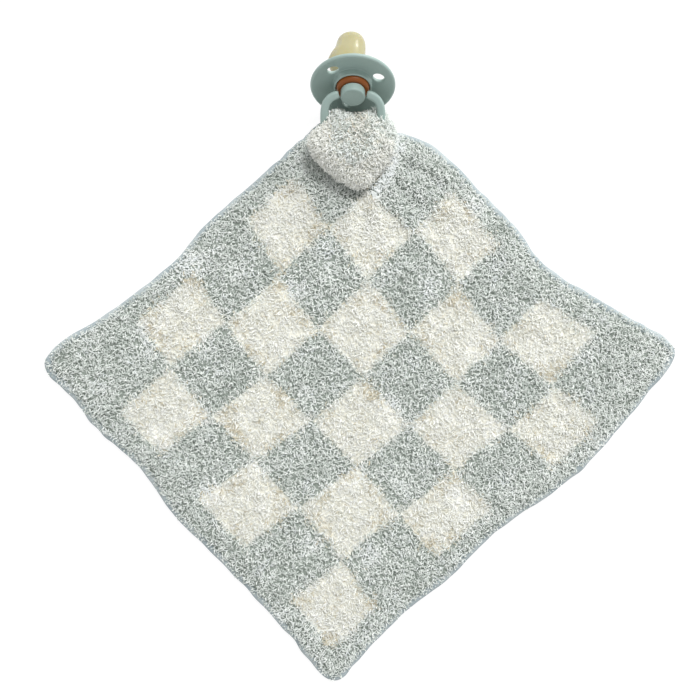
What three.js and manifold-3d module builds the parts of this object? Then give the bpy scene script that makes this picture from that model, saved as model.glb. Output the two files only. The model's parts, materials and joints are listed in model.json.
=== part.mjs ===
// Comfort blanket: a square of plush knit, laid flat, whose top corner runs up through the ring of a
// round soother, folds back over it and snaps down. Millimetres, +Z up, underside on Z = 0.
import * as THREE from "three";
import { mergeVertices } from "three/addons/utils/BufferGeometryUtils.js";
import Module from "manifold-3d";

const wasm = await Module();
wasm.setup();

const degrees = Math.PI / 180;
const { lerp, smoothstep, clamp } = THREE.MathUtils;

// Clearances
const restGap = 0.3; // between pieces that touch
const clothGap = 0.5; // between two lengths of cloth, whose facets differ
const cutOverrun = 2; // how far a cutting body passes the faces it cuts

// Blanket cloth
const clothSide = 254;
const clothHeight = 7.6;
const clothEdgeHeight = 5.6;
const clothEdgeBand = 14; // width over which the cloth thins towards its edge
const clothPressedHeight = 6.8; // under the ring and the folded corner
const clothPressedShare = 1.6; // of the flap's half width, from the neck, at which the pressing has ended
const borderWidth = 17.2;
const checkCount = 6; // checks along each side
const checkCrown = 0.9; // how far the middle of a check stands above its border
const cellsPerCheck = 4;
const cellsPerBorder = 2;
const cornerSquareness = 24; // exponent of the rounded outline
const rippleHeight = 0.5;
const rippleLength = 96;
const gatherHeight = 1; // folds that fan out from the neck
const gatherCount = 9; // per half turn
const gatherReach = 78;

// Where a five by five lattice of the flat cloth lies, in shares of its side, from the neck at 0, 0.
// Each row runs from the lower left edge to the upper right one, the first row is the lower right edge.
const laidShares = [
  [[-0.043, -1.146], [0.126, -0.987], [0.331, -0.806], [0.536, -0.637], [0.696, -0.429]],
  [[-0.201, -0.972], [-0.013, -0.823], [0.187, -0.661], [0.372, -0.5], [0.535, -0.322]],
  [[-0.382, -0.789], [-0.178, -0.643], [0.022, -0.483], [0.197, -0.316], [0.35, -0.16]],
  [[-0.522, -0.621], [-0.334, -0.468], [-0.135, -0.303], [0.037, -0.13], [0.138, -0.012]],
  [[-0.667, -0.467], [-0.463, -0.3], [-0.264, -0.113], [-0.106, 0.012], [0.01, 0.05]],
];

// Rolled edge
const edgeRollRadius = 2.3;
const edgeRollLift = 0.1; // of its underside above the table
const edgeRollSides = 8;
const edgeRollEnds = 0.86; // share of an upper side along which the roll lies free

// Handle ring, whose plane leans down from the plug to the cloth
const ringRadius = 15.1; // of its centre line
const ringCrown = 13.95; // height of its half beside the plug, which has square shoulders
const ringSquareness = 3.25; // exponent of that half
const ringEndRoom = 1.1; // between its centre line's ends and the plug
const ringWidth = 4.4;
const ringThickness = 4;
const ringCorner = 1.5;
const ringSteps = 34;
const ringCornerSteps = 2;
const ringLowHeight = 10.2; // of its lowest stretch's centre line, inside the fold
const ringSlope = 27.7 * degrees;
const pegRadius = 1.5;
const pegLength = 2.4;
const pegSides = 16;

// Soother. Lengths along its axis run from the rim's plane, positive towards the plug.
const sootherRise = 27.8 * degrees; // of its axis above the table
const shieldRadius = 22.5;
const shieldThickness = 2.3;
const shieldDish = 5; // how far the middle lies behind the rim
const shieldFacets = 64;
const collarRadius = 10;
const collarWall = 1.1;
const collarHeight = 5.1;
const shieldBoreRadius = 7.2;
const ventCount = 3;
const ventRadius = 3.2;
const ventFacets = 20;
const ventCircle = 14.2;
const ventTurn = 135 * degrees;
const pegAxisPlace = 5.4;

const seatRingRadius = 8.6;
const seatRingFront = 3.15;
const seatRingCrown = 1.3;

const teatWall = 1.3;
const teatFlangeRadius = 8.6;
const teatFlangeThickness = 1.2;
const teatNeckRadius = 6.9;
const teatWaistRadius = 6.3;
const teatWaistPlace = -12.8;
const teatBulbRadius = 7.2;
const teatBulbPlace = -28.59;
const teatBulbFrom = -21.6 * degrees; // where the waist runs into the bulb
const teatFlare = 6.4; // how far one side of it bulges out between the shield and the bulb
const teatFlarePlace = -16.8;
const teatBulbFlareShare = 0.3; // of the flare that is left at the bulb
const turnedFacets = 40; // of what fits inside the shield
const bulbSteps = 7;

const plugRadius = 6.4;
const plugFront = 8.2;
const plugBevel = 0.9;
const plugStemRadius = 5.2;
const plugTail = 7; // how far the stem passes the shield's back into the teat

// Folded corner, measured round the ring's lowest stretch
const foldInner = 2.8; // clears the ring as it swings
const foldOuter = 19;
const foldTopInner = 4.5; // the same on top of the ring
const foldTopHeight = 13.2; // of its top above the ring's centre line
const foldSideRoom = 2.9; // between the fold and the ring on either side
const foldTopHalfWidth = 17;
const foldFrom = -40 * degrees;
const foldTo = 90 * degrees;
const foldSpread = 66 * degrees; // past the swinging ring it widens into the flap
const foldSteps = 12;
const foldPleats = 7;
const foldPleatDepth = 0.5;
const sectionPoints = 28;

const flapLength = 22;
const flapHalfWidth = 25;
const flapRootHeight = 10.2; // depth of its folded edge
const flapTipHeight = 4.6;
const flapSteps = 9;
const flapWaistShare = 0.4; // how high up its edge lies
const flapHollowShare = 0.3; // of its length, over which its underside drops to the cloth
const flapSquareness = 0.7; // exponent of its section
const flapEdgeRadius = 2.2;
const flapRest = 2.6; // of its underside above the cloth, on the press stud
// Each side's outline from the fold to the tip, in shares of the half width and of the length.
const flapLeftShares = [[0.86, 0], [1, 0.14], [0.97, 0.35], [0.74, 0.62], [0.3, 0.86], [-0.2, 1]];
const flapRightShares = [[0.86, 0], [0.98, 0.14], [0.97, 0.35], [0.89, 0.62], [0.66, 0.9], [0.2, 1]];

// Press stud, sewn between the flap and the cloth
const snapRadius = 4.6;
const snapDisc = 0.9;
const snapPostRadius = 1.5;
const snapPostHeight = 0.8;
const snapHoleRadius = 2.7;
const snapPlace = 13; // from the ring's lowest stretch
const sewingHoleCount = 4;
const sewingHoleRadius = 0.5;
const sewingCircle = 3.7;
const snapFacets = 32;
const sewingHoleFacets = 8;

const colours = {
  knit: 0xb7c1bd,
  knitReverse: 0xdfdbd0,
  edge: 0xa8b4b6,
  sage: 0x8fa9a1,
  amber: 0x9a4f18,
  latex: 0xddd29a,
  snap: 0xd8d8d4,
};

// General shapes

function material(colour, roughness, metalness = 0) {
  return new THREE.MeshStandardMaterial({ color: colour, roughness, metalness });
}

const soft = (colour) => material(colour, 0.95);

function named(name, geometry, finish) {
  const mesh = new THREE.Mesh(geometry, finish);
  mesh.name = name;
  return mesh;
}

function solidOf(geometry) {
  const bare = new THREE.BufferGeometry();
  const source = geometry.index ? geometry.toNonIndexed() : geometry;
  bare.setAttribute("position", source.getAttribute("position").clone());
  const merged = mergeVertices(bare, 1e-4);
  return new wasm.Manifold(
    new wasm.Mesh({
      numProp: 3,
      vertProperties: new Float32Array(merged.getAttribute("position").array),
      triVerts: new Uint32Array(merged.index.array),
    }),
  );
}

function geometryOf(solid) {
  const mesh = solid.getMesh();
  const geometry = new THREE.BufferGeometry();
  geometry.setAttribute("position", new THREE.BufferAttribute(mesh.vertProperties, 3));
  geometry.setIndex(new THREE.BufferAttribute(mesh.triVerts, 1));
  return geometry;
}

// Turned body round Z from [radius, height] points that go up the outside and come back inside.
function turned(points, facets) {
  const profile = points.map(([radius, height]) => new THREE.Vector2(radius, height));
  return new THREE.LatheGeometry(profile, facets).rotateX(Math.PI / 2);
}

function cylinder(radius, from, to, facets) {
  return new THREE.CylinderGeometry(radius, radius, to - from, facets)
    .rotateX(Math.PI / 2)
    .translate(0, 0, (from + to) / 2);
}

// Closed skin over a row of sections with equal numbers of points, each turning counterclockwise
// when seen from the end that the sections run to.
function lofted(sections) {
  const positions = [];
  const face = (a, b, c) => positions.push(...a.toArray(), ...b.toArray(), ...c.toArray());
  const count = sections[0].length;
  for (let step = 1; step < sections.length; step += 1) {
    const low = sections[step - 1];
    const high = sections[step];
    for (let point = 0; point < count; point += 1) {
      const next = (point + 1) % count;
      face(low[point], low[next], high[next]);
      face(low[point], high[next], high[point]);
    }
  }
  const middle = (section) =>
    section.reduce((sum, point) => sum.add(point), new THREE.Vector3()).divideScalar(count);
  const first = sections[0];
  const last = sections[sections.length - 1];
  for (let point = 0; point < count; point += 1) {
    const next = (point + 1) % count;
    face(middle(first), first[next], first[point]);
    face(middle(last), last[point], last[next]);
  }
  const geometry = new THREE.BufferGeometry();
  geometry.setAttribute("position", new THREE.Float32BufferAttribute(positions, 3));
  return mergeVertices(geometry, 1e-5);
}

// Cloth, laid flat

const checkSide = (clothSide - 2 * borderWidth) / checkCount;

// Cell borders along one side of the flat cloth, which keep to the borders of its checks.
function cellBorders() {
  const borders = [];
  for (let cell = 0; cell < cellsPerBorder; cell += 1) {
    borders.push((borderWidth * cell) / cellsPerBorder);
  }
  const cells = checkCount * cellsPerCheck;
  for (let cell = 0; cell <= cells; cell += 1) {
    borders.push(borderWidth + (cell * checkSide) / cellsPerCheck);
  }
  const mirrored = borders.slice(0, cellsPerBorder).reverse();
  return [...borders, ...mirrored.map((place) => clothSide - place)];
}

// Weights of five evenly spaced knots at a share of the way along them.
function knotWeights(share) {
  const weights = [];
  for (let knot = 0; knot < laidShares.length; knot += 1) {
    const values = laidShares.map((_, index) => (index === knot ? 1 : 0));
    weights.push(cubicThrough(values, share));
  }
  return weights;
}

function cubicThrough(values, share) {
  const last = values.length - 1;
  const place = clamp(share, 0, 1) * last;
  const knot = Math.min(Math.floor(place), last - 1);
  const t = place - knot;
  const slope = (index) => {
    if (index === 0) return values[1] - values[0];
    if (index === last) return values[last] - values[last - 1];
    return (values[index + 1] - values[index - 1]) / 2;
  };
  const [from, to] = [values[knot], values[knot + 1]];
  const rise = to - from;
  const leave = slope(knot);
  const arrive = slope(knot + 1);
  return from + leave * t + (3 * rise - 2 * leave - arrive) * t * t + (leave + arrive - 2 * rise) * t ** 3;
}

// Round corners: the square is drawn in towards its middle where two sides meet.
function roundedShare(along, across) {
  const x = 2 * along - 1;
  const y = 2 * across - 1;
  const reach = Math.max(Math.abs(x), Math.abs(y));
  if (reach === 0) return [along, across];
  const sum = Math.abs(x) ** cornerSquareness + Math.abs(y) ** cornerSquareness;
  const scale = reach / sum ** (1 / cornerSquareness);
  return [(x * scale + 1) / 2, (y * scale + 1) / 2];
}

// Where a place on the flat cloth lies; right and left count from the bottom corner.
function laidPoint(right, left) {
  const [along, across] = roundedShare(right / clothSide, left / clothSide);
  const alongWeights = knotWeights(along);
  const acrossWeights = knotWeights(across);
  const point = new THREE.Vector2();
  laidShares.forEach((row, rowIndex) => {
    row.forEach(([x, y], index) => {
      const weight = acrossWeights[rowIndex] * alongWeights[index] * clothSide;
      point.x += x * weight;
      point.y += y * weight;
    });
  });
  return point;
}

// Height of the cloth's upper face.
function clothTop(right, left, point) {
  const inBorder = Math.min(right, left, clothSide - right, clothSide - left);
  const edge = smoothstep(inBorder, 0, clothEdgeBand);
  const place = (distance) => (distance - borderWidth) / checkSide;
  const crown = Math.abs(Math.sin(Math.PI * place(right)) * Math.sin(Math.PI * place(left)));
  const checked = Math.min(right, left) >= borderWidth && Math.max(right, left) <= clothSide - borderWidth;
  const ripple = Math.sin((2 * Math.PI * (point.x + point.y / 2)) / rippleLength)
    * Math.cos((2 * Math.PI * (point.y - point.x / 2)) / rippleLength);
  const fromNeck = point.length();
  const gathers = Math.cos(2 * gatherCount * Math.atan2(point.x, -point.y))
    * smoothstep(fromNeck, gatherReach / 4, gatherReach / 2)
    * (1 - smoothstep(fromNeck, gatherReach / 2, gatherReach));
  const free = clothEdgeHeight
    + (clothHeight - clothEdgeHeight) * edge
    + (checked ? checkCrown * crown * edge : 0)
    + (rippleHeight * ripple + gatherHeight * gathers) * edge;
  const pressed = 1 - smoothstep(fromNeck, flapHalfWidth, flapHalfWidth * clothPressedShare);
  return lerp(free, clothPressedHeight, pressed);
}

function blanketPanel() {
  const borders = cellBorders();
  const top = borders.map((left) => borders.map((right) => {
    const point = laidPoint(right, left);
    return new THREE.Vector3(point.x, point.y, clothTop(right, left, point));
  }));
  const last = borders.length - 1;
  const rim = [];
  for (let cell = 0; cell < last; cell += 1) rim.push(top[0][cell]);
  for (let cell = 0; cell < last; cell += 1) rim.push(top[cell][last]);
  for (let cell = last; cell > 0; cell -= 1) rim.push(top[last][cell]);
  for (let cell = last; cell > 0; cell -= 1) rim.push(top[cell][0]);
  const foot = rim.map((point) => new THREE.Vector3(point.x, point.y, 0));
  const positions = [];
  const face = (a, b, c) => positions.push(...a.toArray(), ...b.toArray(), ...c.toArray());
  for (let row = 0; row < last; row += 1) {
    for (let cell = 0; cell < last; cell += 1) {
      face(top[row][cell], top[row][cell + 1], top[row + 1][cell + 1]);
      face(top[row][cell], top[row + 1][cell + 1], top[row + 1][cell]);
    }
  }
  rim.forEach((point, index) => {
    const next = (index + 1) % rim.length;
    face(foot[index], foot[next], rim[next]);
    face(foot[index], rim[next], point);
  });
  const outline = foot.map((point) => new THREE.Vector2(point.x, point.y));
  THREE.ShapeUtils.triangulateShape(outline, []).forEach(([a, b, c]) => {
    face(foot[c], foot[b], foot[a]);
  });
  const geometry = new THREE.BufferGeometry();
  geometry.setAttribute("position", new THREE.Float32BufferAttribute(positions, 3));
  return { geometry: mergeVertices(geometry, 1e-5), outline };
}

// Rolled edges

// Round roll through a row of middles, each with the direction that points out of the cloth.
function rollAlong(stations, radius) {
  return lofted(stations.map(({ middle, outwards }) => {
    const section = [];
    for (let side = 0; side < edgeRollSides; side += 1) {
      const turn = (2 * Math.PI * (side + 0.5)) / edgeRollSides;
      section.push(middle.clone()
        .addScaledVector(outwards, -radius * Math.cos(turn))
        .add(new THREE.Vector3(0, 0, radius * Math.sin(turn))));
    }
    return section;
  }));
}

// Stations of the roll beside the panel's outline, from one of its cells to another.
function besideOutline(outline, fromCell, toCell) {
  const count = outline.length;
  const at = (index) => outline[(index + count) % count];
  const height = edgeRollLift + edgeRollRadius;
  const stations = [];
  for (let index = fromCell; index <= toCell; index += 1) {
    const into = at(index).clone().sub(at(index - 1)).normalize();
    const out = at(index + 1).clone().sub(at(index)).normalize();
    const along = into.clone().add(out).normalize();
    const outwards = new THREE.Vector3(along.y, -along.x, 0);
    const stretch = 1 / along.dot(into);
    const middle = new THREE.Vector3(at(index).x, at(index).y, height)
      .addScaledVector(outwards, (clothGap + edgeRollRadius) * stretch);
    const end = (index === fromCell) - (index === toCell);
    middle.add(new THREE.Vector3(along.x, along.y, 0).multiplyScalar((end * clothGap) / 2));
    stations.push({ middle, outwards });
  }
  return stations;
}

// Handle ring, modelled round its lowest stretch with the plug's peg axis straight along +Y

// The pegs lie where the ring's centre line would meet the plug's side.
const plugShare = (plugRadius / ringRadius) ** ringSquareness;
const pegReach = ringRadius + ringCrown * (1 - plugShare) ** (1 / ringSquareness);

// Half a circle away from the plug, and beside it half of |x|^n + |y|^n = 1.
function ringPoint(turn, target) {
  const across = Math.cos(turn);
  const along = Math.sin(turn);
  if (along <= 0) return target.set(ringRadius * across, ringRadius + ringRadius * along, 0);
  const power = 2 / ringSquareness;
  return target.set(
    ringRadius * Math.sign(across) * Math.abs(across) ** power,
    ringRadius + ringCrown * along ** power,
    0,
  );
}

function handleRing() {
  const open = Math.asin(((plugRadius + ringEndRoom) / ringRadius) ** (ringSquareness / 2));
  class RingLine extends THREE.Curve {
    getPoint(share, target = new THREE.Vector3()) {
      return ringPoint(lerp(Math.PI / 2 + open, 2.5 * Math.PI - open, share), target);
    }
  }
  const section = new THREE.Shape();
  const halfWidth = ringWidth / 2;
  const halfThickness = ringThickness / 2;
  section.moveTo(-halfThickness + ringCorner, -halfWidth);
  section.lineTo(halfThickness - ringCorner, -halfWidth);
  section.absarc(halfThickness - ringCorner, -halfWidth + ringCorner, ringCorner, -Math.PI / 2, 0);
  section.lineTo(halfThickness, halfWidth - ringCorner);
  section.absarc(halfThickness - ringCorner, halfWidth - ringCorner, ringCorner, 0, Math.PI / 2);
  section.lineTo(-halfThickness + ringCorner, halfWidth);
  section.absarc(-halfThickness + ringCorner, halfWidth - ringCorner, ringCorner, Math.PI / 2, Math.PI);
  section.lineTo(-halfThickness, -halfWidth + ringCorner);
  section.absarc(-halfThickness + ringCorner, -halfWidth + ringCorner, ringCorner, Math.PI, 1.5 * Math.PI);
  const band = new THREE.ExtrudeGeometry(section, {
    extrudePath: new RingLine(),
    steps: ringSteps,
    curveSegments: ringCornerSteps,
  });
  const peg = (side) => {
    const inner = plugRadius + restGap - pegLength;
    const outer = plugRadius + ringWidth;
    return solidOf(new THREE.CylinderGeometry(pegRadius, pegRadius, outer - inner, pegSides)
      .rotateZ(Math.PI / 2)
      .translate((side * (inner + outer)) / 2, pegReach, 0));
  };
  return geometryOf(solidOf(band).add(peg(1)).add(peg(-1)));
}

// Soother, turned round Z with the rim's plane at zero and the plug towards +Z

const shieldSink = (radius) => -shieldDish * (1 - (radius / shieldRadius) ** 2);
const shieldFrontSteps = 5;
const rimTurns = [-60, -30, 0, 30, 60]; // degrees round the rim's edge
const collarFloor = shieldSink(0) + shieldThickness / 2;
const shieldBack = collarFloor - shieldThickness;
const flangeFront = collarFloor + restGap + teatFlangeThickness;

function shield() {
  const inside = collarRadius - collarWall;
  const front = [];
  for (let step = 0; step <= shieldFrontSteps; step += 1) {
    const radius = lerp(shieldRadius - shieldThickness / 2, collarRadius, step / shieldFrontSteps);
    front.push([radius, shieldSink(radius) + shieldThickness / 2]);
  }
  const back = front.map(([radius, height]) => [radius, height - shieldThickness]).reverse();
  const edge = [];
  const edgeRadius = shieldThickness / 2;
  const edgeHeight = shieldSink(shieldRadius - edgeRadius);
  rimTurns.forEach((turn) => {
    edge.push([
      shieldRadius - edgeRadius + edgeRadius * Math.cos(turn * degrees),
      edgeHeight + edgeRadius * Math.sin(turn * degrees),
    ]);
  });
  const collarTop = collarFloor + collarHeight;
  const lip = collarWall / 2;
  const profile = [
    [shieldBoreRadius, shieldBack],
    ...back,
    ...edge,
    ...front,
    [collarRadius, collarTop - lip / 2],
    [collarRadius - lip / 2, collarTop],
    [inside + lip / 2, collarTop],
    [inside, collarTop - lip / 2],
    [inside, collarFloor],
    [shieldBoreRadius, collarFloor],
    [shieldBoreRadius, shieldBack],
  ];
  let body = solidOf(turned(profile, shieldFacets));
  for (let vent = 0; vent < ventCount; vent += 1) {
    const turn = ventTurn + (2 * Math.PI * vent) / ventCount;
    const from = shieldBack - cutOverrun;
    const hole = cylinder(ventRadius, from, shieldThickness + cutOverrun, ventFacets)
      .translate(ventCircle * Math.cos(turn), ventCircle * Math.sin(turn), 0);
    body = body.subtract(solidOf(hole));
  }
  return geometryOf(body);
}

// The teat's flange lies on the collar's floor and its neck passes through the shield's bore.
function teat() {
  const bulb = [];
  for (let step = 0; step <= bulbSteps; step += 1) {
    const turn = lerp(teatBulbFrom, Math.PI / 2, step / bulbSteps);
    bulb.push([teatBulbRadius * Math.cos(turn), teatBulbPlace - teatBulbRadius * Math.sin(turn)]);
  }
  const neck = [
    [teatFlangeRadius, flangeFront],
    [teatFlangeRadius, flangeFront - teatFlangeThickness],
    [teatNeckRadius, flangeFront - teatFlangeThickness],
    [teatNeckRadius, shieldBack - restGap],
    [(teatNeckRadius + teatWaistRadius) / 2, (shieldBack + teatWaistPlace) / 2],
    [teatWaistRadius, teatWaistPlace],
    [(teatWaistRadius + bulb[0][0]) / 2, (teatWaistPlace + bulb[0][1]) / 2],
  ];
  const outside = [...neck, ...bulb.slice(0, -1), [0, teatBulbPlace - teatBulbRadius]];
  const shrunk = (teatBulbRadius - teatWall) / teatBulbRadius;
  const hollowBulb = bulb.map(([radius, height]) => [
    radius * shrunk,
    teatBulbPlace + (height - teatBulbPlace) * shrunk,
  ]);
  const inside = [
    [0, teatBulbPlace - teatBulbRadius + teatWall],
    ...hollowBulb.slice(0, -1).reverse(),
    [teatWaistRadius - teatWall, teatWaistPlace],
    [teatNeckRadius - teatWall, shieldBack - restGap],
    [teatNeckRadius - teatWall, flangeFront],
    [teatFlangeRadius, flangeFront],
  ];
  const profile = [...outside, ...inside].reverse();
  return flared(turned(profile, turnedFacets));
}

// Draws the teat's left side out between the shield and the bulb and leaves its right side straight.
function flared(geometry) {
  const places = geometry.getAttribute("position");
  const from = shieldBack - restGap;
  for (let index = 0; index < places.count; index += 1) {
    const x = places.getX(index);
    const height = places.getZ(index);
    const radius = Math.hypot(x, places.getY(index));
    const leftwards = radius > 0 ? (1 - x / radius) / 2 : 1 / 2;
    const rise = smoothstep(from - height, 0, from - teatFlarePlace);
    const fall = smoothstep(-height, -teatFlarePlace, -teatBulbPlace);
    const flare = teatFlare * rise * lerp(1, teatBulbFlareShare, fall);
    places.setX(index, x - flare * leftwards);
  }
  return geometry;
}

// The seat ring clamps the teat's flange and crowns outwards between collar and plug.
function seatRing() {
  const from = flangeFront + restGap;
  const inner = plugStemRadius + restGap;
  const middle = (from + seatRingFront) / 2;
  return turned([
    [inner, from],
    [seatRingRadius - seatRingCrown / 2, from],
    [seatRingRadius, lerp(from, middle, 0.5)],
    [seatRingRadius, lerp(seatRingFront, middle, 0.5)],
    [seatRingRadius - seatRingCrown / 2, seatRingFront - seatRingCrown / 4],
    [seatRingRadius - seatRingCrown, seatRingFront],
    [inner, seatRingFront],
    [inner, from],
  ], turnedFacets);
}

function plug() {
  const neckRadius = teatWaistRadius - teatWall - restGap;
  const shoulder = seatRingFront + restGap;
  const tail = flangeFront - plugTail;
  const eased = plugBevel * (1 - Math.SQRT1_2);
  const body = solidOf(turned([
    [0, tail],
    [neckRadius - plugBevel, tail],
    [neckRadius, tail + plugBevel],
    [neckRadius, flangeFront + restGap],
    [plugStemRadius, flangeFront + restGap],
    [plugStemRadius, shoulder],
    [plugRadius, shoulder],
    [plugRadius, plugFront - plugBevel],
    [plugRadius - eased, plugFront - eased],
    [plugRadius - plugBevel, plugFront],
    [0, plugFront],
  ], turnedFacets));
  const socketRadius = pegRadius + restGap;
  const socket = (side) => {
    const from = plugRadius - pegLength - restGap;
    const to = plugRadius + cutOverrun;
    return solidOf(new THREE.CylinderGeometry(socketRadius, socketRadius, to - from, pegSides)
      .rotateZ(Math.PI / 2)
      .translate((side * (from + to)) / 2, 0, pegAxisPlace));
  };
  return geometryOf(body.subtract(socket(1)).subtract(socket(-1)));
}

// Folded corner, round X through the ring's lowest stretch

const foldHalfWidth = ringRadius - ringWidth / 2 - foldSideRoom;

// Oval section between two distances from the ring's centre line, at a turn above the table's plane.
function foldSection(turn, inner, outer, halfWidth, pleats) {
  const outwards = new THREE.Vector3(0, Math.cos(turn), Math.sin(turn));
  const section = [];
  for (let index = 0; index < sectionPoints; index += 1) {
    const angle = (2 * Math.PI * index) / sectionPoints;
    const pleat = 1 - (pleats * (1 - Math.cos(foldPleats * angle))) / 2;
    const distance = (inner + outer) / 2 + (Math.sin(angle) * pleat * (outer - inner)) / 2;
    section.push(new THREE.Vector3(halfWidth * Math.cos(angle) * pleat, 0, 0)
      .addScaledVector(outwards, distance));
  }
  return section;
}

function cornerLoop() {
  const sections = [];
  for (let step = 0; step <= foldSteps; step += 1) {
    const turn = lerp(foldFrom, foldTo, step / foldSteps);
    const above = smoothstep(turn, 0, Math.PI / 2);
    const outer = lerp(foldOuter, foldTopHeight, above);
    const spread = smoothstep(turn, foldSpread, foldTo);
    const halfWidth = lerp(foldHalfWidth, foldTopHalfWidth, spread);
    const pleats = ((2 * foldPleatDepth) / (foldOuter - foldInner)) * (1 - spread);
    const inner = lerp(foldInner, foldTopInner, spread);
    sections.push(foldSection(turn, inner, outer, halfWidth, pleats));
  }
  const loop = solidOf(lofted(sections));
  const floor = clothPressedHeight + restGap - ringLowHeight;
  const reach = foldOuter + cutOverrun;
  const under = new THREE.BoxGeometry(2 * reach, 2 * reach, reach).translate(0, 0, floor - reach / 2);
  return geometryOf(loop.subtract(solidOf(under)));
}

// Underside and upper face of the flap above the table, at a share of its length.
function flapHeights(share) {
  const top = ringLowHeight + foldTopHeight;
  const lowest = clothPressedHeight + flapRest;
  const upper = lerp(top, lowest + flapTipHeight, smoothstep(share, 0, 1));
  const lower = lerp(top - flapRootHeight, lowest, smoothstep(share, 0, flapHollowShare));
  return [lower, upper];
}

// Stations along one side of the flap, a distance inside its outline.
function insideFlap(side, inset, steps) {
  const shares = side < 0 ? flapLeftShares : flapRightShares;
  const line = new THREE.SplineCurve(shares.map(([x, y]) => (
    new THREE.Vector2(side * flapHalfWidth * x, -restGap - flapLength * y)
  )));
  const stations = [];
  for (let step = 0; step <= steps; step += 1) {
    const place = line.getPoint(step / steps);
    const along = line.getTangent(step / steps);
    const first = step === 0 ? new THREE.Vector2(0, -1) : along;
    const direction = step === steps ? new THREE.Vector2(-side, 0) : first;
    const outwards = new THREE.Vector2(-direction.y, direction.x).multiplyScalar(side);
    place.addScaledVector(outwards, -inset);
    if (step === steps) place.x += (side * clothGap) / 2;
    stations.push({ place, outwards, share: step / steps });
  }
  return stations;
}

function cornerFlap() {
  const inset = flapEdgeRadius * 2 + clothGap;
  const left = insideFlap(-1, inset, flapSteps);
  const right = insideFlap(1, inset, flapSteps);
  return lofted(left.map(({ place, share }, step) => {
    const [lower, upper] = flapHeights(share);
    const widest = lerp(lower, upper, flapWaistShare);
    const section = [];
    for (let index = 0; index < sectionPoints; index += 1) {
      const angle = (2 * Math.PI * index) / sectionPoints;
      const across = (1 + Math.sign(Math.cos(angle)) * Math.abs(Math.cos(angle)) ** flapSquareness) / 2;
      const high = Math.sin(angle);
      const height = high > 0 ? lerp(widest, upper, high) : lerp(widest, lower, Math.min(1, -2 * high));
      const flat = place.clone().lerp(right[step].place, across);
      section.push(new THREE.Vector3(flat.x, flat.y, height));
    }
    return section;
  }));
}

// The rolled edge round one side of the flap, from the fold to the tip.
function flapEdge(side) {
  const stations = insideFlap(side, flapEdgeRadius, 2 * flapSteps).map(({ place, outwards, share }) => ({
    middle: new THREE.Vector3(place.x, place.y, flapHeights(share)[0] + flapEdgeRadius),
    outwards: new THREE.Vector3(outwards.x, outwards.y, 0),
  }));
  return rollAlong(side > 0 ? stations.reverse() : stations, flapEdgeRadius);
}

// Press stud

function sewnDisc(disc, from, holeRadius) {
  let solid = disc;
  const below = from - cutOverrun;
  const above = from + snapDisc + cutOverrun;
  for (let hole = 0; hole < sewingHoleCount; hole += 1) {
    const turn = (2 * Math.PI * (hole + 0.5)) / sewingHoleCount;
    const thread = cylinder(sewingHoleRadius, below, above, sewingHoleFacets)
      .translate(sewingCircle * Math.cos(turn), sewingCircle * Math.sin(turn), 0);
    solid = solid.subtract(solidOf(thread));
  }
  if (holeRadius > 0) {
    solid = solid.subtract(solidOf(cylinder(holeRadius, below, above, snapFacets)));
  }
  return geometryOf(solid);
}

function snapStud() {
  const from = clothPressedHeight + restGap;
  const disc = solidOf(cylinder(snapRadius, from, from + snapDisc, snapFacets));
  const postTop = from + snapDisc + snapPostHeight;
  const post = solidOf(cylinder(snapPostRadius, from + snapDisc / 2, postTop, snapFacets));
  return sewnDisc(disc.add(post), from, 0).translate(0, -snapPlace, 0);
}

function snapSocket() {
  const from = clothPressedHeight + flapRest - restGap - snapDisc;
  const disc = solidOf(cylinder(snapRadius, from, from + snapDisc, snapFacets));
  return sewnDisc(disc, from, snapHoleRadius).translate(0, -snapPlace, 0);
}

// Assembly

const part = new THREE.Group();

const panel = blanketPanel();
part.add(named("blanket_panel", panel.geometry, soft(colours.knit)));

const cellsPerSide = panel.outline.length / 4;
const freeCells = Math.round(cellsPerSide * edgeRollEnds);
const sides = [
  ["edge_roll_lower_right", 0, cellsPerSide],
  ["edge_roll_upper_right", cellsPerSide, cellsPerSide + freeCells],
  ["edge_roll_upper_left", 3 * cellsPerSide - freeCells, 3 * cellsPerSide],
  ["edge_roll_lower_left", 3 * cellsPerSide, 4 * cellsPerSide],
];
sides.forEach(([name, from, to]) => {
  const roll = rollAlong(besideOutline(panel.outline, from, to), edgeRollRadius);
  part.add(named(name, roll, soft(colours.edge)));
});

part.add(named("snap_stud", snapStud(), material(colours.snap, 0.4)));

const loop = named("corner_loop", cornerLoop(), soft(colours.knit));
loop.position.z = ringLowHeight;
part.add(loop);

part.add(named("corner_flap", cornerFlap(), soft(colours.knitReverse)));
part.add(named("flap_edge_left", flapEdge(-1), soft(colours.edge)));
part.add(named("flap_edge_right", flapEdge(1), soft(colours.edge)));
part.add(named("snap_socket", snapSocket(), material(colours.snap, 0.4)));

const handle = new THREE.Group();
handle.position.z = ringLowHeight;
handle.rotation.x = ringSlope;
handle.add(named("handle_ring", handleRing(), material(colours.sage, 0.5)));
part.add(handle);

const soother = new THREE.Group();
const pegs = new THREE.Vector3(0, pegReach * Math.cos(ringSlope), pegReach * Math.sin(ringSlope));
pegs.z += ringLowHeight;
soother.rotation.x = Math.PI / 2 - sootherRise;
soother.position.copy(pegs).add(new THREE.Vector3(0, 0, -pegAxisPlace).applyEuler(soother.rotation));
soother.add(named("shield", shield(), material(colours.sage, 0.5)));
soother.add(named("teat", teat(), material(colours.latex, 0.35)));
soother.add(named("seat_ring", seatRing(), material(colours.amber, 0.4)));
soother.add(named("plug", plug(), material(colours.sage, 0.5)));
part.add(soother);

// The origin is the middle of the part's box, on the table.
part.updateMatrixWorld(true);
const box = new THREE.Box3().setFromObject(part, true);
const centre = box.getCenter(new THREE.Vector3());
part.position.set(-centre.x, -centre.y, -box.min.z);

export default part;
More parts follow.
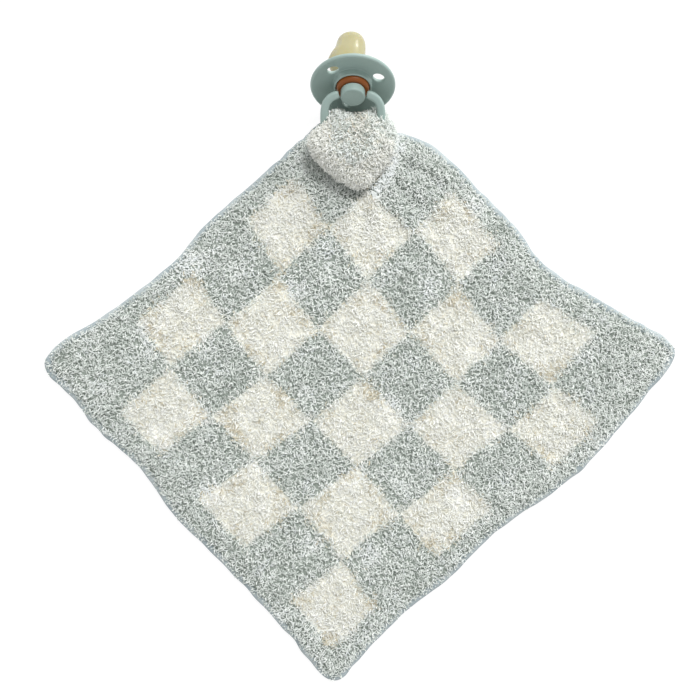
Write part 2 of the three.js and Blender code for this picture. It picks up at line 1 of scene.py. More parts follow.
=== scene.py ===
"""Comfort blanket: a square of curly plush knit, laid flat, whose top corner runs up through the ring
of a round soother, folds back over it and snaps down. Metres, +Z up, underside on Z = 0."""
import json
import math

import bpy
import numpy as np
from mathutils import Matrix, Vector


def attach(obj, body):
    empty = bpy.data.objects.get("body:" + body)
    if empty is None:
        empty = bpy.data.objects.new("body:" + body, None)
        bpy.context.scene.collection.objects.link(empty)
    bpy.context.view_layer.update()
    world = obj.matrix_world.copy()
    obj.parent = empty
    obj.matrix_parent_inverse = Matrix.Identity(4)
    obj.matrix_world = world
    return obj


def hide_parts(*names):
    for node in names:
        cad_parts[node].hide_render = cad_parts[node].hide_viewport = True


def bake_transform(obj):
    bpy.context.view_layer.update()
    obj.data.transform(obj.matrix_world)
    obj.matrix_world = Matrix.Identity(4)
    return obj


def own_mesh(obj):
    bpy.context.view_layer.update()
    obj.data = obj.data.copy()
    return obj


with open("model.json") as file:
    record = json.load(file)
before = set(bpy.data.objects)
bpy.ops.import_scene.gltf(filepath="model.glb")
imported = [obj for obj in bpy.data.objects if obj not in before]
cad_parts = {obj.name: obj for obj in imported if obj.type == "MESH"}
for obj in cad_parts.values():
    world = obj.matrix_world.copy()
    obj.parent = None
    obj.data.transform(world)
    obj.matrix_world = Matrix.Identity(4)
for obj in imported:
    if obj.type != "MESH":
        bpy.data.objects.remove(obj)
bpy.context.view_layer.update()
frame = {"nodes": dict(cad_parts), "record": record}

MM = 0.001
DEGREE = math.pi / 180
chance = np.random.default_rng(254)


# Sizes, in millimetres unless a share

CLOTH_SIDE = 254.0
BORDER = 17.2
CHECKS = 6
CHECK_SIDE = (CLOTH_SIDE - 2 * BORDER) / CHECKS
CORNER_POWER = 27.0  # of the rounded outline
CORNER_FROM = 0.75  # share of the half side from which the corners are drawn in
GROUND_TOP = 5.0  # height of the knitted ground under its pile
GROUND_EDGE_TOP = 3.4
GROUND_FOOT = 0.9
GROUND_INSET = 4.4  # of the ground from the silhouette, where the rolled edge lies
GROUND_CELLS = 150
EDGE_BAND = 15.0  # width over which the cloth thins towards its edge
LUMPS = ((0.55, 16, 1), (0.35, 7, 2), (0.5, 70, 4))  # height, length and seed of each unevenness
FOOT_LUMPS = (0.15, 9, 6)
GATHERS = 18  # in a whole circle round the neck
GATHER_SWAY = (0.8, 50, 3)
GATHER_HEIGHT = 0.9
GATHERS_RISE = (18, 34)  # from the neck
GATHERS_FALL = (36, 84)
NECK_PRESSED_TOP = 4.6  # under the ring and the flap
NECK_PRESSED = (20, 34)  # from the neck
RUN_OUT = 8.0  # of a gather or crease at either end
RIDGE_START = (26.5, 10.0)  # from the neck
RIDGE_END = (6.5, -30.0)
RIDGE_BOW = 3.6
RIDGE_HALF_WIDTH = 3.4
RIDGE_RISE = 2.4
CREASE_START = (9.0, -26.0)
CREASE_END = (-26.0, 0.0)
CREASE_BOW = 3.0
CREASE_HALF_WIDTH = 4.0
CREASE_DEPTH = 2.8
LOWEST = 0.05  # above the table


# The joints' places, which carry the soother and the ring

def joint_place(name):
    """A joint's place in the record, in millimetres."""
    for joint in frame["record"]["behaviour"]["joints"]:
        if joint["name"] == name:
            return np.array(joint["pos_m"], float) / MM
    raise ValueError(name)


NECK = joint_place("handle_swing")  # the ring's lowest stretch
PEGS = joint_place("handle_pivot")


# Shader maths

def paint(red, green, blue):
    """Linear colour of an 8-bit sRGB one."""
    def linear(value):
        share = value / 255
        return share / 12.92 if share <= 0.04045 else ((share + 0.055) / 1.055) ** 2.4
    return (linear(red), linear(green), linear(blue), 1.0)


class Value:
    """A socket in a shader tree. The operators add Math nodes, so a pattern reads as a formula."""

    def __init__(self, nodes, socket):
        self.nodes = nodes
        self.socket = socket

    def maths(self, operation, *values):
        return self.nodes.node("ShaderNodeMath", {"operation": operation}, dict(enumerate(values)))

    def __add__(self, other):
        return self.maths("ADD", self, other)

    def __sub__(self, other):
        return self.maths("SUBTRACT", self, other)

    def __rsub__(self, other):
        return self.maths("SUBTRACT", other, self)

    def __mul__(self, other):
        return self.maths("MULTIPLY", self, other)

    def __truediv__(self, other):
        return self.maths("DIVIDE", self, other)

    def __gt__(self, other):
        return self.maths("GREATER_THAN", self, other)

    def __lt__(self, other):
        return self.maths("LESS_THAN", self, other)

    def __mod__(self, other):
        return self.maths("FLOORED_MODULO", self, other)

    __radd__ = __add__
    __rmul__ = __mul__

    def floor(self):
        return self.maths("FLOOR", self)

    def smooth(self, low, high):
        """0 at low, 1 at high and an even S between them."""
        return self.nodes.node(
            "ShaderNodeMapRange",
            {"interpolation_type": "SMOOTHSTEP"},
            {"Value": self, "From Min": low, "From Max": high},
        )


class Nodes:
    """A shader tree under construction, which starts with its output alone."""

    def __init__(self, tree, output):
        self.tree = tree
        tree.nodes.clear()
        self.output = tree.nodes.new(output)

    def node(self, kind, settings=None, values=None, output=0):
        """Adds a node: its settings first, then the values or links of its sockets."""
        made = self.tree.nodes.new(kind)
        for key, value in (settings or {}).items():
            if key == "stops":
                ramp = made.color_ramp.elements
                while len(ramp) < len(value):
                    ramp.new(1.0)
                for element, (place, colour) in zip(ramp, value):
                    element.position = place
                    element.color = colour
            else:
                setattr(made, key, value)
        for key, value in (values or {}).items():
            if isinstance(value, Value):
                self.tree.links.new(value.socket, made.inputs[key])
            else:
                made.inputs[key].default_value = value
        return Value(self, made.outputs[output])

    def show(self, value):
        self.tree.links.new(value.socket, self.output.inputs["Surface"])

    def rays(self, first, *others):
        """1 for rays of the named kinds."""
        sockets = self.node("ShaderNodeLightPath").socket.node.outputs
        seen = Value(self, sockets[first])
        for name in others:
            seen = seen.maths("MAXIMUM", seen, Value(self, sockets[name]))
        return seen


class Finish(Nodes):
    """A material under construction round one Principled shader, whose constants are the settings."""

    def __init__(self, name, **settings):
        self.material = bpy.data.materials.new(name)
        self.material.use_nodes = True
        super().__init__(self.material.node_tree, "ShaderNodeOutputMaterial")
        constants = {key.replace("_", " "): value for key, value in settings.items()}
        self.shader = self.node("ShaderNodeBsdfPrincipled", None, constants)
        self.show(self.shader)

    def mixed(self, share, low, high):
        return self.node("ShaderNodeMix", {"data_type": "RGBA"}, {0: share, 6: low, 7: high}, 2)

    def object_place(self):
        return self.node("ShaderNodeTexCoord", output=3)

    def noise(self, place, scale, detail=2.0, roughness=0.5):
        values = {"Vector": place, "Scale": scale, "Detail": detail, "Roughness": roughness}
        return self.node("ShaderNodeTexNoise", None, values)

    def split(self, vector):
        sockets = self.node("ShaderNodeSeparateXYZ", None, {0: vector}).socket.node.outputs
        return [Value(self, socket) for socket in sockets]

    def bump(self, height, distance, strength):
        values = {"Height": height, "Distance": distance, "Strength": strength}
        self.feed("Normal", self.node("ShaderNodeBump", None, values))

    def feed(self, name, value):
        self.tree.links.new(value.socket, self.shader.socket.node.inputs[name])


# Meshes

def made_mesh(name, points, faces, finish, around=None, smooth=True):
    """An object at the origin from points in millimetres and arrays of corner numbers, one row a face.
    around gives each point its place on the map that the pattern of its material reads."""
    mesh = bpy.data.meshes.new(name)
    corners = np.concatenate([rows.ravel() for rows in faces]).astype(np.int32)
    sizes = np.concatenate([np.full(len(rows), rows.shape[1]) for rows in faces])
    starts = np.concatenate([[0], np.cumsum(sizes)[:-1]]).astype(np.int32)
    mesh.vertices.add(len(points))
    mesh.vertices.foreach_set("co", (np.asarray(points) * MM).astype(np.float32).ravel())
    mesh.loops.add(len(corners))
    mesh.loops.foreach_set("vertex_index", corners)
    mesh.polygons.add(len(sizes))
    mesh.polygons.foreach_set("loop_start", starts)
    mesh.update(calc_edges=True)
    mesh.polygons.foreach_set("use_smooth", np.full(len(sizes), smooth))
    if around is not None:
        layer = mesh.uv_layers.new(name="OFBake")
        layer.uv.foreach_set("vector", np.asarray(around)[corners].astype(np.float32).ravel())
    mesh.validate()
    made = bpy.data.objects.new(name, mesh)
    bpy.context.collection.objects.link(made)
    made.data.materials.append(finish.material)
    return made


def net(rows, columns, wrap_rows=False, wrap_columns=False, start=0):
    """Four-cornered faces of a grid of points numbered row by row, facing rows x columns."""
    row = np.arange(rows if wrap_rows else rows - 1)[:, None]
    column = np.arange(columns if wrap_columns else columns - 1)[None, :]
    below = (row + 1) % rows
    beside = (column + 1) % columns
    corners = [row * columns + column, below * columns + column,
               below * columns + beside, row * columns + beside]
    faces = np.stack([np.broadcast_to(c, (row.size, column.size)) for c in corners], -1)
    return faces.reshape(-1, 4) + start


def closed_tube(sections):
    """Points and faces of a skin over a row of rings, (rings, points round, 3), each turning
    counterclockwise seen from the end that the rings run to, with a fan on each end."""
    rings, around, _ = sections.shape
    middles = np.stack([sections[0].mean(0), sections[-1].mean(0)])
    points = np.concatenate([sections.reshape(-1, 3), middles])
    skin = net(rings, around, wrap_columns=True)[:, ::-1]
    here = np.arange(around)
    ahead = (here + 1) % around
    first = np.stack([np.full(around, rings * around), ahead, here], -1)
    last = np.stack([np.full(around, rings * around + 1), (rings - 1) * around + here,
                     (rings - 1) * around + ahead], -1)
    return points, [skin, first, last]


def round_turns(count):
    """That many even turns round a circle, in radians."""
    return np.arange(count) * 2 * math.pi / count


def smoothstep(value, low, high):
    """0 at low, 1 at high and 3t^2 - 2t^3 between them."""
    share = np.clip((value - low) / (high - low), 0, 1)
    return share * share * (3 - 2 * share)


def at_least(least, share):
    """Draws a share between 0 and 1 up to between least and 1."""
    return least + (1 - least) * share


WAVES = 14
WAVE_GAIN = 2.2


def wander(x, y, length, seed):
    """Soft unevenness between about -1 and 1: the mean of sine waves of about that length, which run
    in all directions."""
    draw = np.random.default_rng(seed)
    heading = draw.uniform(0, 2 * math.pi, WAVES)
    phase = draw.uniform(0, 2 * math.pi, WAVES)
    pace = 2 * math.pi / (length * draw.uniform(0.75, 1.5, WAVES))
    x = np.asarray(x, float)[..., None]
    y = np.asarray(y, float)[..., None]
    waves = np.sin((x * np.cos(heading) + y * np.sin(heading)) * pace + phase)
    return waves.mean(-1) * WAVE_GAIN


def uneven(x, y, *rows):
    """Sum of soft unevennesses, each given by its height, length and seed."""
    return sum(height * wander(x, y, length, seed) for height, length, seed in rows)


# How the flat cloth lies. Flat places count right and left from the bottom corner, laid ones from
# the neck, where the cloth runs up into the ring.

def check_middle(count):
    """Flat place of a check's middle along one side, counted from the bottom corner."""
    return BORDER + CHECK_SIDE * (count + 0.5)


CHECK_PLACES = {
    (0, 0): (-9.6, -249.7),
    (0, 2): (-57.8, -192.8), (1, 1): (-1.5, -196.6), (2, 0): (51.6, -198.3),
    (0, 4): (-103.3, -144.1), (1, 3): (-49.2, -145.7), (2, 2): (4.5, -148.4),
    (3, 1): (56.4, -150.6), (4, 0): (112.2, -152.2),
    (1, 5): (-93.6, -91.0), (2, 4): (-44.3, -98.1), (3, 3): (6.6, -97.0),
    (4, 2): (55.9, -100.8), (5, 1): (104.6, -103.5),
    (3, 5): (-35.1, -38.5), (4, 4): (9.3, -45.0), (5, 3): (58.1, -45.5),
}
OUTLINE_PLACES = {
    (0, 0): (-10.8, -294.7), (36, 0): (9.2, -271.3), (72, 0): (37.5, -244.6), (90, 0): (54.2, -232.2),
    (109, 0): (68.9, -216.4), (127, 0): (84.2, -203.3), (145, 0): (100.4, -192.4),
    (182, 0): (130.1, -168.6), (200, 0): (142.9, -154.2), (232, 0): (165.4, -127.8),
    (254, 0): (182, -109),
    (0, 36): (-32.1, -268), (0, 72): (-57.7, -239.9), (0, 109): (-85.2, -212.1),
    (0, 127): (-97.3, -200.1), (0, 163): (-115.6, -174.4), (0, 182): (-127.7, -163.1),
    (0, 200): (-139.8, -152.6), (0, 232): (-157.6, -131.3), (0, 254): (-175.6, -117.6),
    (254, 20): (168, -99.6), (254, 36): (156.9, -93.8), (254, 72): (130.4, -78.4),
    (254, 90): (114.9, -69.6), (254, 109): (100.2, -57.3), (254, 127): (89, -41.8),
    (254, 145): (75.1, -28.4), (254, 190): (41.7, 3.2), (254, 203): (31.3, 7.6), (254, 222): (20, 9.5),
    (20, 254): (-158.2, -103.2), (36, 254): (-142.8, -94.5), (72, 254): (-109.8, -71.2),
    (90, 254): (-94.5, -57.5), (109, 254): (-81, -41.2), (145, 254): (-51.4, -15.4),
    (178, 254): (-31.6, 3.2), (196, 254): (-26, 7.4), (222, 254): (-18, 14.5),
    (254, 254): (1.5, 13), (222, 222): (2, -3),
}


class Lie:
    """Thin plate spline from flat to laid places: a plane plus a sum of r² log r terms, one to each
    known place, weighted so that every known place comes out exactly."""

    def __init__(self):
        flat = [(check_middle(i), check_middle(j)) for i, j in CHECK_PLACES] + list(OUTLINE_PLACES)
        laid = list(CHECK_PLACES.values()) + list(OUTLINE_PLACES.values())
        self.known = np.array(flat, float) / CLOTH_SIDE
        count = len(self.known)
        system = np.zeros((count + 3, count + 3))
        system[:count, :count] = self.pull(self.known)
        system[:count, count] = system[count, :count] = 1
        system[:count, count + 1:] = self.known
        system[count + 1:, :count] = self.known.T
        wanted = np.zeros((count + 3, 2))
        wanted[:count] = laid
        self.weights = np.linalg.solve(system, wanted)

    def pull(self, places):
        """r² log r² of each place's distance from each known one."""
        apart = ((places[..., None, :] - self.known) ** 2).sum(-1)
        return apart * np.log(apart + 1e-12)

    def __call__(self, right, left):
        places = np.stack([right, left], -1) / CLOTH_SIDE
        count = len(self.known)
        return self.pull(places) @ self.weights[:count] + self.weights[count] \
            + places @ self.weights[count + 1:]


lie = Lie()


def rounded(right, left):
    """Draws the corners of the flat square in, on |x|^n + |y|^n = 1 for x and y from its middle, and
    leaves its inside alone."""
    x = 2 * right / CLOTH_SIDE - 1
    y = 2 * left / CLOTH_SIDE - 1
    reach = np.maximum(np.abs(x), np.abs(y)) + 1e-9
    power = np.maximum((np.abs(x) / reach) ** CORNER_POWER + (np.abs(y) / reach) ** CORNER_POWER, 1)
    drawn = 1 + (power ** (-1 / CORNER_POWER) - 1) * smoothstep(reach, CORNER_FROM, 1)
    return (x * drawn + 1) * CLOTH_SIDE / 2, (y * drawn + 1) * CLOTH_SIDE / 2


def laid(right, left):
    """Laid places from the neck, in the part's frame in millimetres."""
    place = lie(*rounded(right, left))
    return place[..., 0] + NECK[0], place[..., 1] + NECK[1]


def along_line(x, y, start, end, bow, half_width):
    """1 along a line between two places from the neck, which bows out to its left by so much, falling
    off like a bell to either side and running out at both ends."""
    start, end = np.array(start), np.array(end)
    length = np.linalg.norm(end - start)
    ahead = (end - start) / length
    from_start = np.stack([x - NECK[0], y - NECK[1]], -1) - start
    along = from_start @ ahead
    beside = from_start @ np.array([-ahead[1], ahead[0]])
    bowed = beside - bow * np.sin(math.pi * np.clip(along / length, 0, 1))
    ends = smoothstep(along, 0, RUN_OUT) * smoothstep(along, length, length - RUN_OUT)
    return np.exp(-(bowed / half_width) ** 2) * ends


def ridge_share(x, y):
    """1 on the gather that runs down beside the flap."""
    return along_line(x, y, RIDGE_START, RIDGE_END, RIDGE_BOW, RIDGE_HALF_WIDTH)


def crease_share(x, y):
    """1 in the crease that the flap's edge presses into the cloth."""
    return along_line(x, y, CREASE_START, CREASE_END, CREASE_BOW, CREASE_HALF_WIDTH)


def from_edge(right, left):
    """How far inside the flat square's edge a place lies."""
    return np.minimum(np.minimum(right, left), np.minimum(CLOTH_SIDE - right, CLOTH_SIDE - left))


def ground_height(right, left, x, y):
    """Height of the ground's upper face: thin at the edge, with soft lumps, gathers that fan out from
    the neck, a ridge and a crease beside the flap, and pressed flat under the ring."""
    full = smoothstep(from_edge(right, left), 0, EDGE_BAND)
    from_neck = np.hypot(x - NECK[0], y - NECK[1])
    heading = np.arctan2(x - NECK[0], NECK[1] - y)
    gathers = np.cos(GATHERS * heading + uneven(x, y, GATHER_SWAY)) \
        * smoothstep(from_neck, *GATHERS_RISE) * (1 - smoothstep(from_neck, *GATHERS_FALL))
    lumps = uneven(x, y, *LUMPS)
    free = GROUND_EDGE_TOP + (GROUND_TOP - GROUND_EDGE_TOP) * full \
        + (lumps + GATHER_HEIGHT * gathers) * full
    pressed = 1 - smoothstep(from_neck, *NECK_PRESSED)
    return free + (NECK_PRESSED_TOP - free) * pressed \
        + RIDGE_RISE * ridge_share(x, y) - CREASE_DEPTH * crease_share(x, y)


def cloth_point(right, left):
    """Point of the ground's upper face over a flat place."""
    x, y = laid(right, left)
    return np.stack([x, y, ground_height(right, left, x, y)], -1)


def check_share(right, left):
    """1 where the face shows cream: every second check, counted from the bottom corner."""
    across = np.floor((right - BORDER) / CHECK_SIDE)
    along = np.floor((left - BORDER) / CHECK_SIDE)
    within = (np.minimum(across, along) >= 0) & (np.maximum(across, along) < CHECKS)
    return within & ((across + along) % 2 == 0)


# Finishes of the knit

SAGE_TONES = [
    (0.0, paint(188, 196, 190)), (0.25, paint(218, 225, 219)), (0.5, paint(236, 241, 236)),
    (0.8, paint(245, 248, 245)), (1.0, paint(235, 240, 241)),
]
# The lowest cream tones are the tan that strands at the cream checks' borders take, painted warm shade.
CREAM_TONES = [
    (0.0, paint(205, 195, 170)), (0.05, paint(228, 223, 204)), (0.2, paint(243, 244, 236)),
    (0.5, paint(247, 248, 243)), (0.85, paint(249, 250, 246)), (1.0, paint(243, 242, 229)),
]
MINGLED_TONES = [
    (0.0, paint(160, 169, 161)), (0.2, paint(221, 212, 194)), (0.4, paint(205, 213, 208)),
    (0.65, paint(242, 241, 233)), (1.0, paint(252, 253, 251)),
]


def pile_finish(name, tones, root, clear):
    """Curly strands: x on their own map picks a strand's tone, y runs from its root to its tip, and
    the root colour, painted shade deep in the pile, fades out up to the share clear of its length."""
    finish = Finish(name, Roughness=0.85, Sheen_Weight=0.15, Sheen_Roughness=0.5)
    tone, along, _ = finish.split(finish.node("ShaderNodeUVMap", {"uv_map": "OFBake"}))
    colour = finish.node("ShaderNodeValToRGB", {"stops": tones}, {0: tone})
    # Near the root the colour fades to the root colour, painted shade deep in the pile.
    finish.feed("Base Color", finish.mixed(along.smooth(0.05, clear), root, colour))
    return finish


# Root colours are painted shade deep in the pile, darker than the tips for the sage and mingled strands.
sage_pile = pile_finish("sage curls", SAGE_TONES, paint(154, 163, 155), 0.4)
cream_pile = pile_finish("cream curls", CREAM_TONES, paint(249, 250, 244), 0.35)
mingled_pile = pile_finish("mingled curls", MINGLED_TONES, paint(196, 198, 189), 0.4)


def ground_finish():
    """The knit under the pile: checks of two shades from the flat place carried by each point, both
    darker than the strands as painted shade in the gaps of the pile, with loops as a fine bump."""
    finish = Finish("knitted ground", Roughness=0.95)
    carried = finish.node("ShaderNodeAttribute", {"attribute_name": "flat_place"}, output=1)
    right, left, face = finish.split(carried)
    place = finish.object_place()
    stray = (finish.noise(place, 600) - 0.5) * 0.1
    across = ((right * CLOTH_SIDE - BORDER) / CHECK_SIDE + stray).floor()
    along = ((left * CLOTH_SIDE - BORDER) / CHECK_SIDE + stray).floor()
    within = (across > -0.5) * (along > -0.5) * (across < CHECKS - 0.5) * (along < CHECKS - 0.5)
    cream = within * (1 - (across + along) % 2)
    turned_over = face * cream + (1 - face) * (1 - cream)
    speckle = finish.noise(place, 900, 3, 0.7)
    # Both ground colours are darkened as painted shade between the strands.
    sage = finish.mixed(speckle, paint(138, 146, 138), paint(178, 187, 179))
    light = finish.mixed(speckle, paint(232, 230, 215), paint(248, 247, 239))
    finish.feed("Base Color", finish.mixed(turned_over, sage, light))
    loops = finish.node("ShaderNodeTexVoronoi", None, {"Vector": place, "Scale": 420.0})
    finish.bump(loops, 0.0006, 0.7)
    return finish


knit_ground = ground_finish()


def mingled_ground_finish():
    """The ground of the turned-over corner, where both colours show."""
    finish = Finish("mingled ground", Roughness=0.95)
    speckle = finish.noise(finish.object_place(), 500, 3, 0.7)
    # Both ground colours are darker than the strands' as painted shade between them.
    sage, light = paint(164, 171, 164), paint(228, 226, 216)
    finish.feed("Base Color", finish.mixed(speckle.smooth(0.35, 0.65), sage, light))
    finish.bump(speckle, 0.0006, 0.7)
    return finish


mingled_ground = mingled_ground_finish()


def carry_flat_place(made, right, left, face):
    """Keeps each point's place on the flat cloth, as shares of its side, and 1 on its face."""
    values = np.stack([right / CLOTH_SIDE, left / CLOTH_SIDE, face], -1).astype(np.float32)
    layer = made.data.attributes.new("flat_place", "FLOAT_VECTOR", "POINT")
    layer.data.foreach_set("vector", values.ravel())


# Ground cloth

def ground_cloth():
    """The laid cloth without pile: a grid over the flat square carried to its laid places, once at the
    height of the upper face and once at the underside, sewn together round the edge."""
    side = GROUND_CELLS + 1
    place = GROUND_INSET + np.linspace(0, 1, side) * (CLOTH_SIDE - 2 * GROUND_INSET)
    left, right = np.meshgrid(place, place, indexing="ij")
    top = cloth_point(right, left)
    foot = top.copy()
    foot[..., 2] = GROUND_FOOT + uneven(top[..., 0], top[..., 1], FOOT_LUMPS)
    points = np.concatenate([top.reshape(-1, 3), foot.reshape(-1, 3)])
    count = side ** 2
    number = np.arange(count).reshape(side, side)
    rim = np.concatenate([number[0, :-1], number[:-1, -1], number[-1, :0:-1], number[:0:-1, 0]])
    ahead = np.roll(rim, -1)
    wall = np.stack([rim + count, ahead + count, ahead, rim], -1)
    faces = [net(side, side)[:, ::-1], net(side, side, start=count), wall]
    made = made_mesh("blanket_ground", points, faces, knit_ground)
    face = np.repeat([1.0, 0.0], count)
    carry_flat_place(made, np.tile(right.ravel(), 2), np.tile(left.ravel(), 2), face)
    return made


# Pile

PILE_PER_MM2 = 1.05
UNDER_PILE_PER_MM2 = 0.3
STRANDS_PER_PIECE = 12000
PILE_INSET = 1.0
UNDER_INSET = 4.0
PILE_EDGE = (-1, 4.5)  # inside the edge, where the pile grows dense
PILE_FULL = 7.0  # inside the edge, where strands have their whole length
EDGE_SHARE = 0.4  # of a strand's length at the edge
BARE_NECK = 14.0  # round the neck no strands grow, under the fold
ROOT_DEPTH = 0.3
PILE_RANGES = {"reach": (1.5, 3.6), "rise": (0.8, 2.5), "width": (0.42, 0.75)}
UNDER_RANGES = {"reach": (2.0, 4.0), "rise": (0.25, 0.55), "width": (0.5, 0.8)}
TONES = (2.2, 2.0)  # of the beta distribution that tones are drawn from
CURL = 2.0  # radians
TONE_PATCHES = (0.2, 22, 9)
RISE_PATCHES = (0.3, 13, 8)
WIDTH_PATCHES = (0.15, 11, 7)
BORDER_WANDER = (1.7, 22)  # height and length
BORDER_STRAY = 1.5  # of single strands over the checks' borders
PRESSED = (0.3, 1.2)  # between these values of an unevenness the pile goes flat and pale
LOST_RISE = {"ridge": 0.65, "crease": 0.4, "pressed": 0.45}  # shares, as the next two
MORE_WIDTH = {"ridge": 0.5, "pressed": 0.25}
# On the ridge the paler tone is painted light on its side that faces the lamps, over its real flatter,
# wider strands.
PALER = {"ridge": 0.9, "pressed": 0.75}
CREAM_RISE = 0.82  # of the cream strands, against the sage ones
WARM_SHADE_REACH = 6.0  # of the tan strands, painted warm shade, into the cream checks
WARM_SHADE_TONE = 0.05
STRAND_STOPS = np.array([0.0, 0.36, 0.72, 1.0])  # shares of a strand's length
STRAND_WIDTHS = np.array([0.8, 1.0, 0.85])
STRAND_RISES = np.array([0.0, 0.66, 1.0, 0.92])
STRAND_CORNERS = np.array([30, 150, 270]) * DEGREE
STRAND_POINTS = 10  # three rings of three and the tip
TONE_SHIFTS = np.array([-0.006, 0.0, 0.006] * 3 + [0.0])  # so that no face is a line on the map
ALONG_SHIFTS = np.array([0.0, 0.03, 0.06, 0.36, 0.36, 0.36, 0.7, 0.7, 0.7, 0.98])


def strands(root, heading, upwards, reach, rise, curl, width, tone):
    """Curved, tapered, three-sided strands. At a share t of its length a strand has gone reach·t along
    a heading that turns by half of curl·t, and up by its rise times an arch; its width swells and
    then runs out in a tip."""
    count = len(root)
    sideways = np.cross(upwards, heading)
    stations = []
    for stop, lift in zip(STRAND_STOPS, STRAND_RISES):
        turn = (curl * stop / 2)[:, None]
        direction = heading * np.cos(turn) + sideways * np.sin(turn)
        stations.append(root + direction * (reach * stop)[:, None] + upwards * (rise * lift)[:, None])
    rings = []
    for station, stop, share in zip(stations, STRAND_STOPS, STRAND_WIDTHS):
        turn = (curl * stop)[:, None]
        across = sideways * np.cos(turn) - heading * np.sin(turn)
        half = (width * share / 2)[:, None]
        for angle in STRAND_CORNERS:
            rings.append(station + half * (across * math.cos(angle) + upwards * math.sin(angle)))
    points = np.stack([*rings, stations[-1]], 1).reshape(-1, 3)
    points[:, 2] = np.maximum(points[:, 2], LOWEST)
    skin = net(3, 3, wrap_columns=True)[:, ::-1]
    ends = np.array([[6, 7, 9], [7, 8, 9], [8, 6, 9], [0, 2, 1]])
    first = (np.arange(count) * STRAND_POINTS)[:, None, None]
    around = np.stack([
        np.clip(tone, 0.01, 0.99)[:, None] + TONE_SHIFTS,
        np.broadcast_to(ALONG_SHIFTS, (count, STRAND_POINTS)),
    ], -1).reshape(-1, 2)
    return points, [(skin + first).reshape(-1, 4), (ends + first).reshape(-1, 3)], around


def strand_rows(root, heading, upwards, ranges, curl=CURL):
    """Rows of strand values but for their tones: curl is drawn from a bell of that width round 0 and
    the others evenly from their ranges."""
    count = len(root)
    return {
        "root": root,
        "heading": heading,
        "upwards": np.broadcast_to(upwards, root.shape),
        "reach": chance.uniform(*ranges["reach"], count),
        "rise": chance.uniform(*ranges["rise"], count),
        "curl": chance.normal(0, curl, count),
        "width": chance.uniform(*ranges["width"], count),
    }


def chosen_rows(rows, chosen):
    """The same rows for chosen strands alone."""
    return {key: value[chosen] for key, value in rows.items()}


def pile_pieces(name, finish, rows, dress):
    """Makes pieces of at most so many strands each from rows of strand values, and dresses each."""
    pieces = []
    count = len(rows["root"])
    parts = max(1, math.ceil(count / STRANDS_PER_PIECE))
    for part, chosen in enumerate(np.array_split(np.arange(count), parts)):
        points, faces, around = strands(**chosen_rows(rows, chosen))
        made = made_mesh(f"{name}_{part + 1}", points, faces, finish, around, smooth=False)
        dress(made)
        pieces.append(made)
    return pieces


def scattered(inset, per_mm2):
    """Places on the flat square inside that inset, one at random in each cell of an even grid."""
    side = CLOTH_SIDE - 2 * inset
    cell = 1 / math.sqrt(per_mm2)
    right, left = np.meshgrid(np.arange(0, side, cell), np.arange(0, side, cell))
    right = right.ravel() + chance.uniform(0, cell, right.size)
    left = left.ravel() + chance.uniform(0, cell, left.size)
    kept = (right < side) & (left < side)
    return right[kept] + inset, left[kept] + inset


def brushed_headings(x, y):
    """Level headings at random, which lean together over patches of some 15 mm."""
    turn = chance.uniform(0, 2 * math.pi, len(x))
    across = np.cos(turn) + 0.9 * wander(x, y, 15, 41)
    along = np.sin(turn) + 0.9 * wander(x, y, 15, 42)
    length = np.hypot(across, along)
    return np.stack([across / length, along / length, np.zeros(len(x))], -1)


def from_border(right, left):
    """How far a place lies from the nearest border between two checks."""
    shares = (np.stack([right, left]) - BORDER) / CHECK_SIDE
    return np.abs(shares - np.round(shares)).min(0) * CHECK_SIDE


def shown_cream(right, left):
    """Which strands are cream: their checks' borders wander softly and single strands stray over them."""
    count = len(right)
    right = right + uneven(right, left, (*BORDER_WANDER, 51)) + chance.normal(0, BORDER_STRAY, count)
    left = left + uneven(right, left, (*BORDER_WANDER, 52)) + chance.normal(0, BORDER_STRAY, count)
    return check_share(right, left)


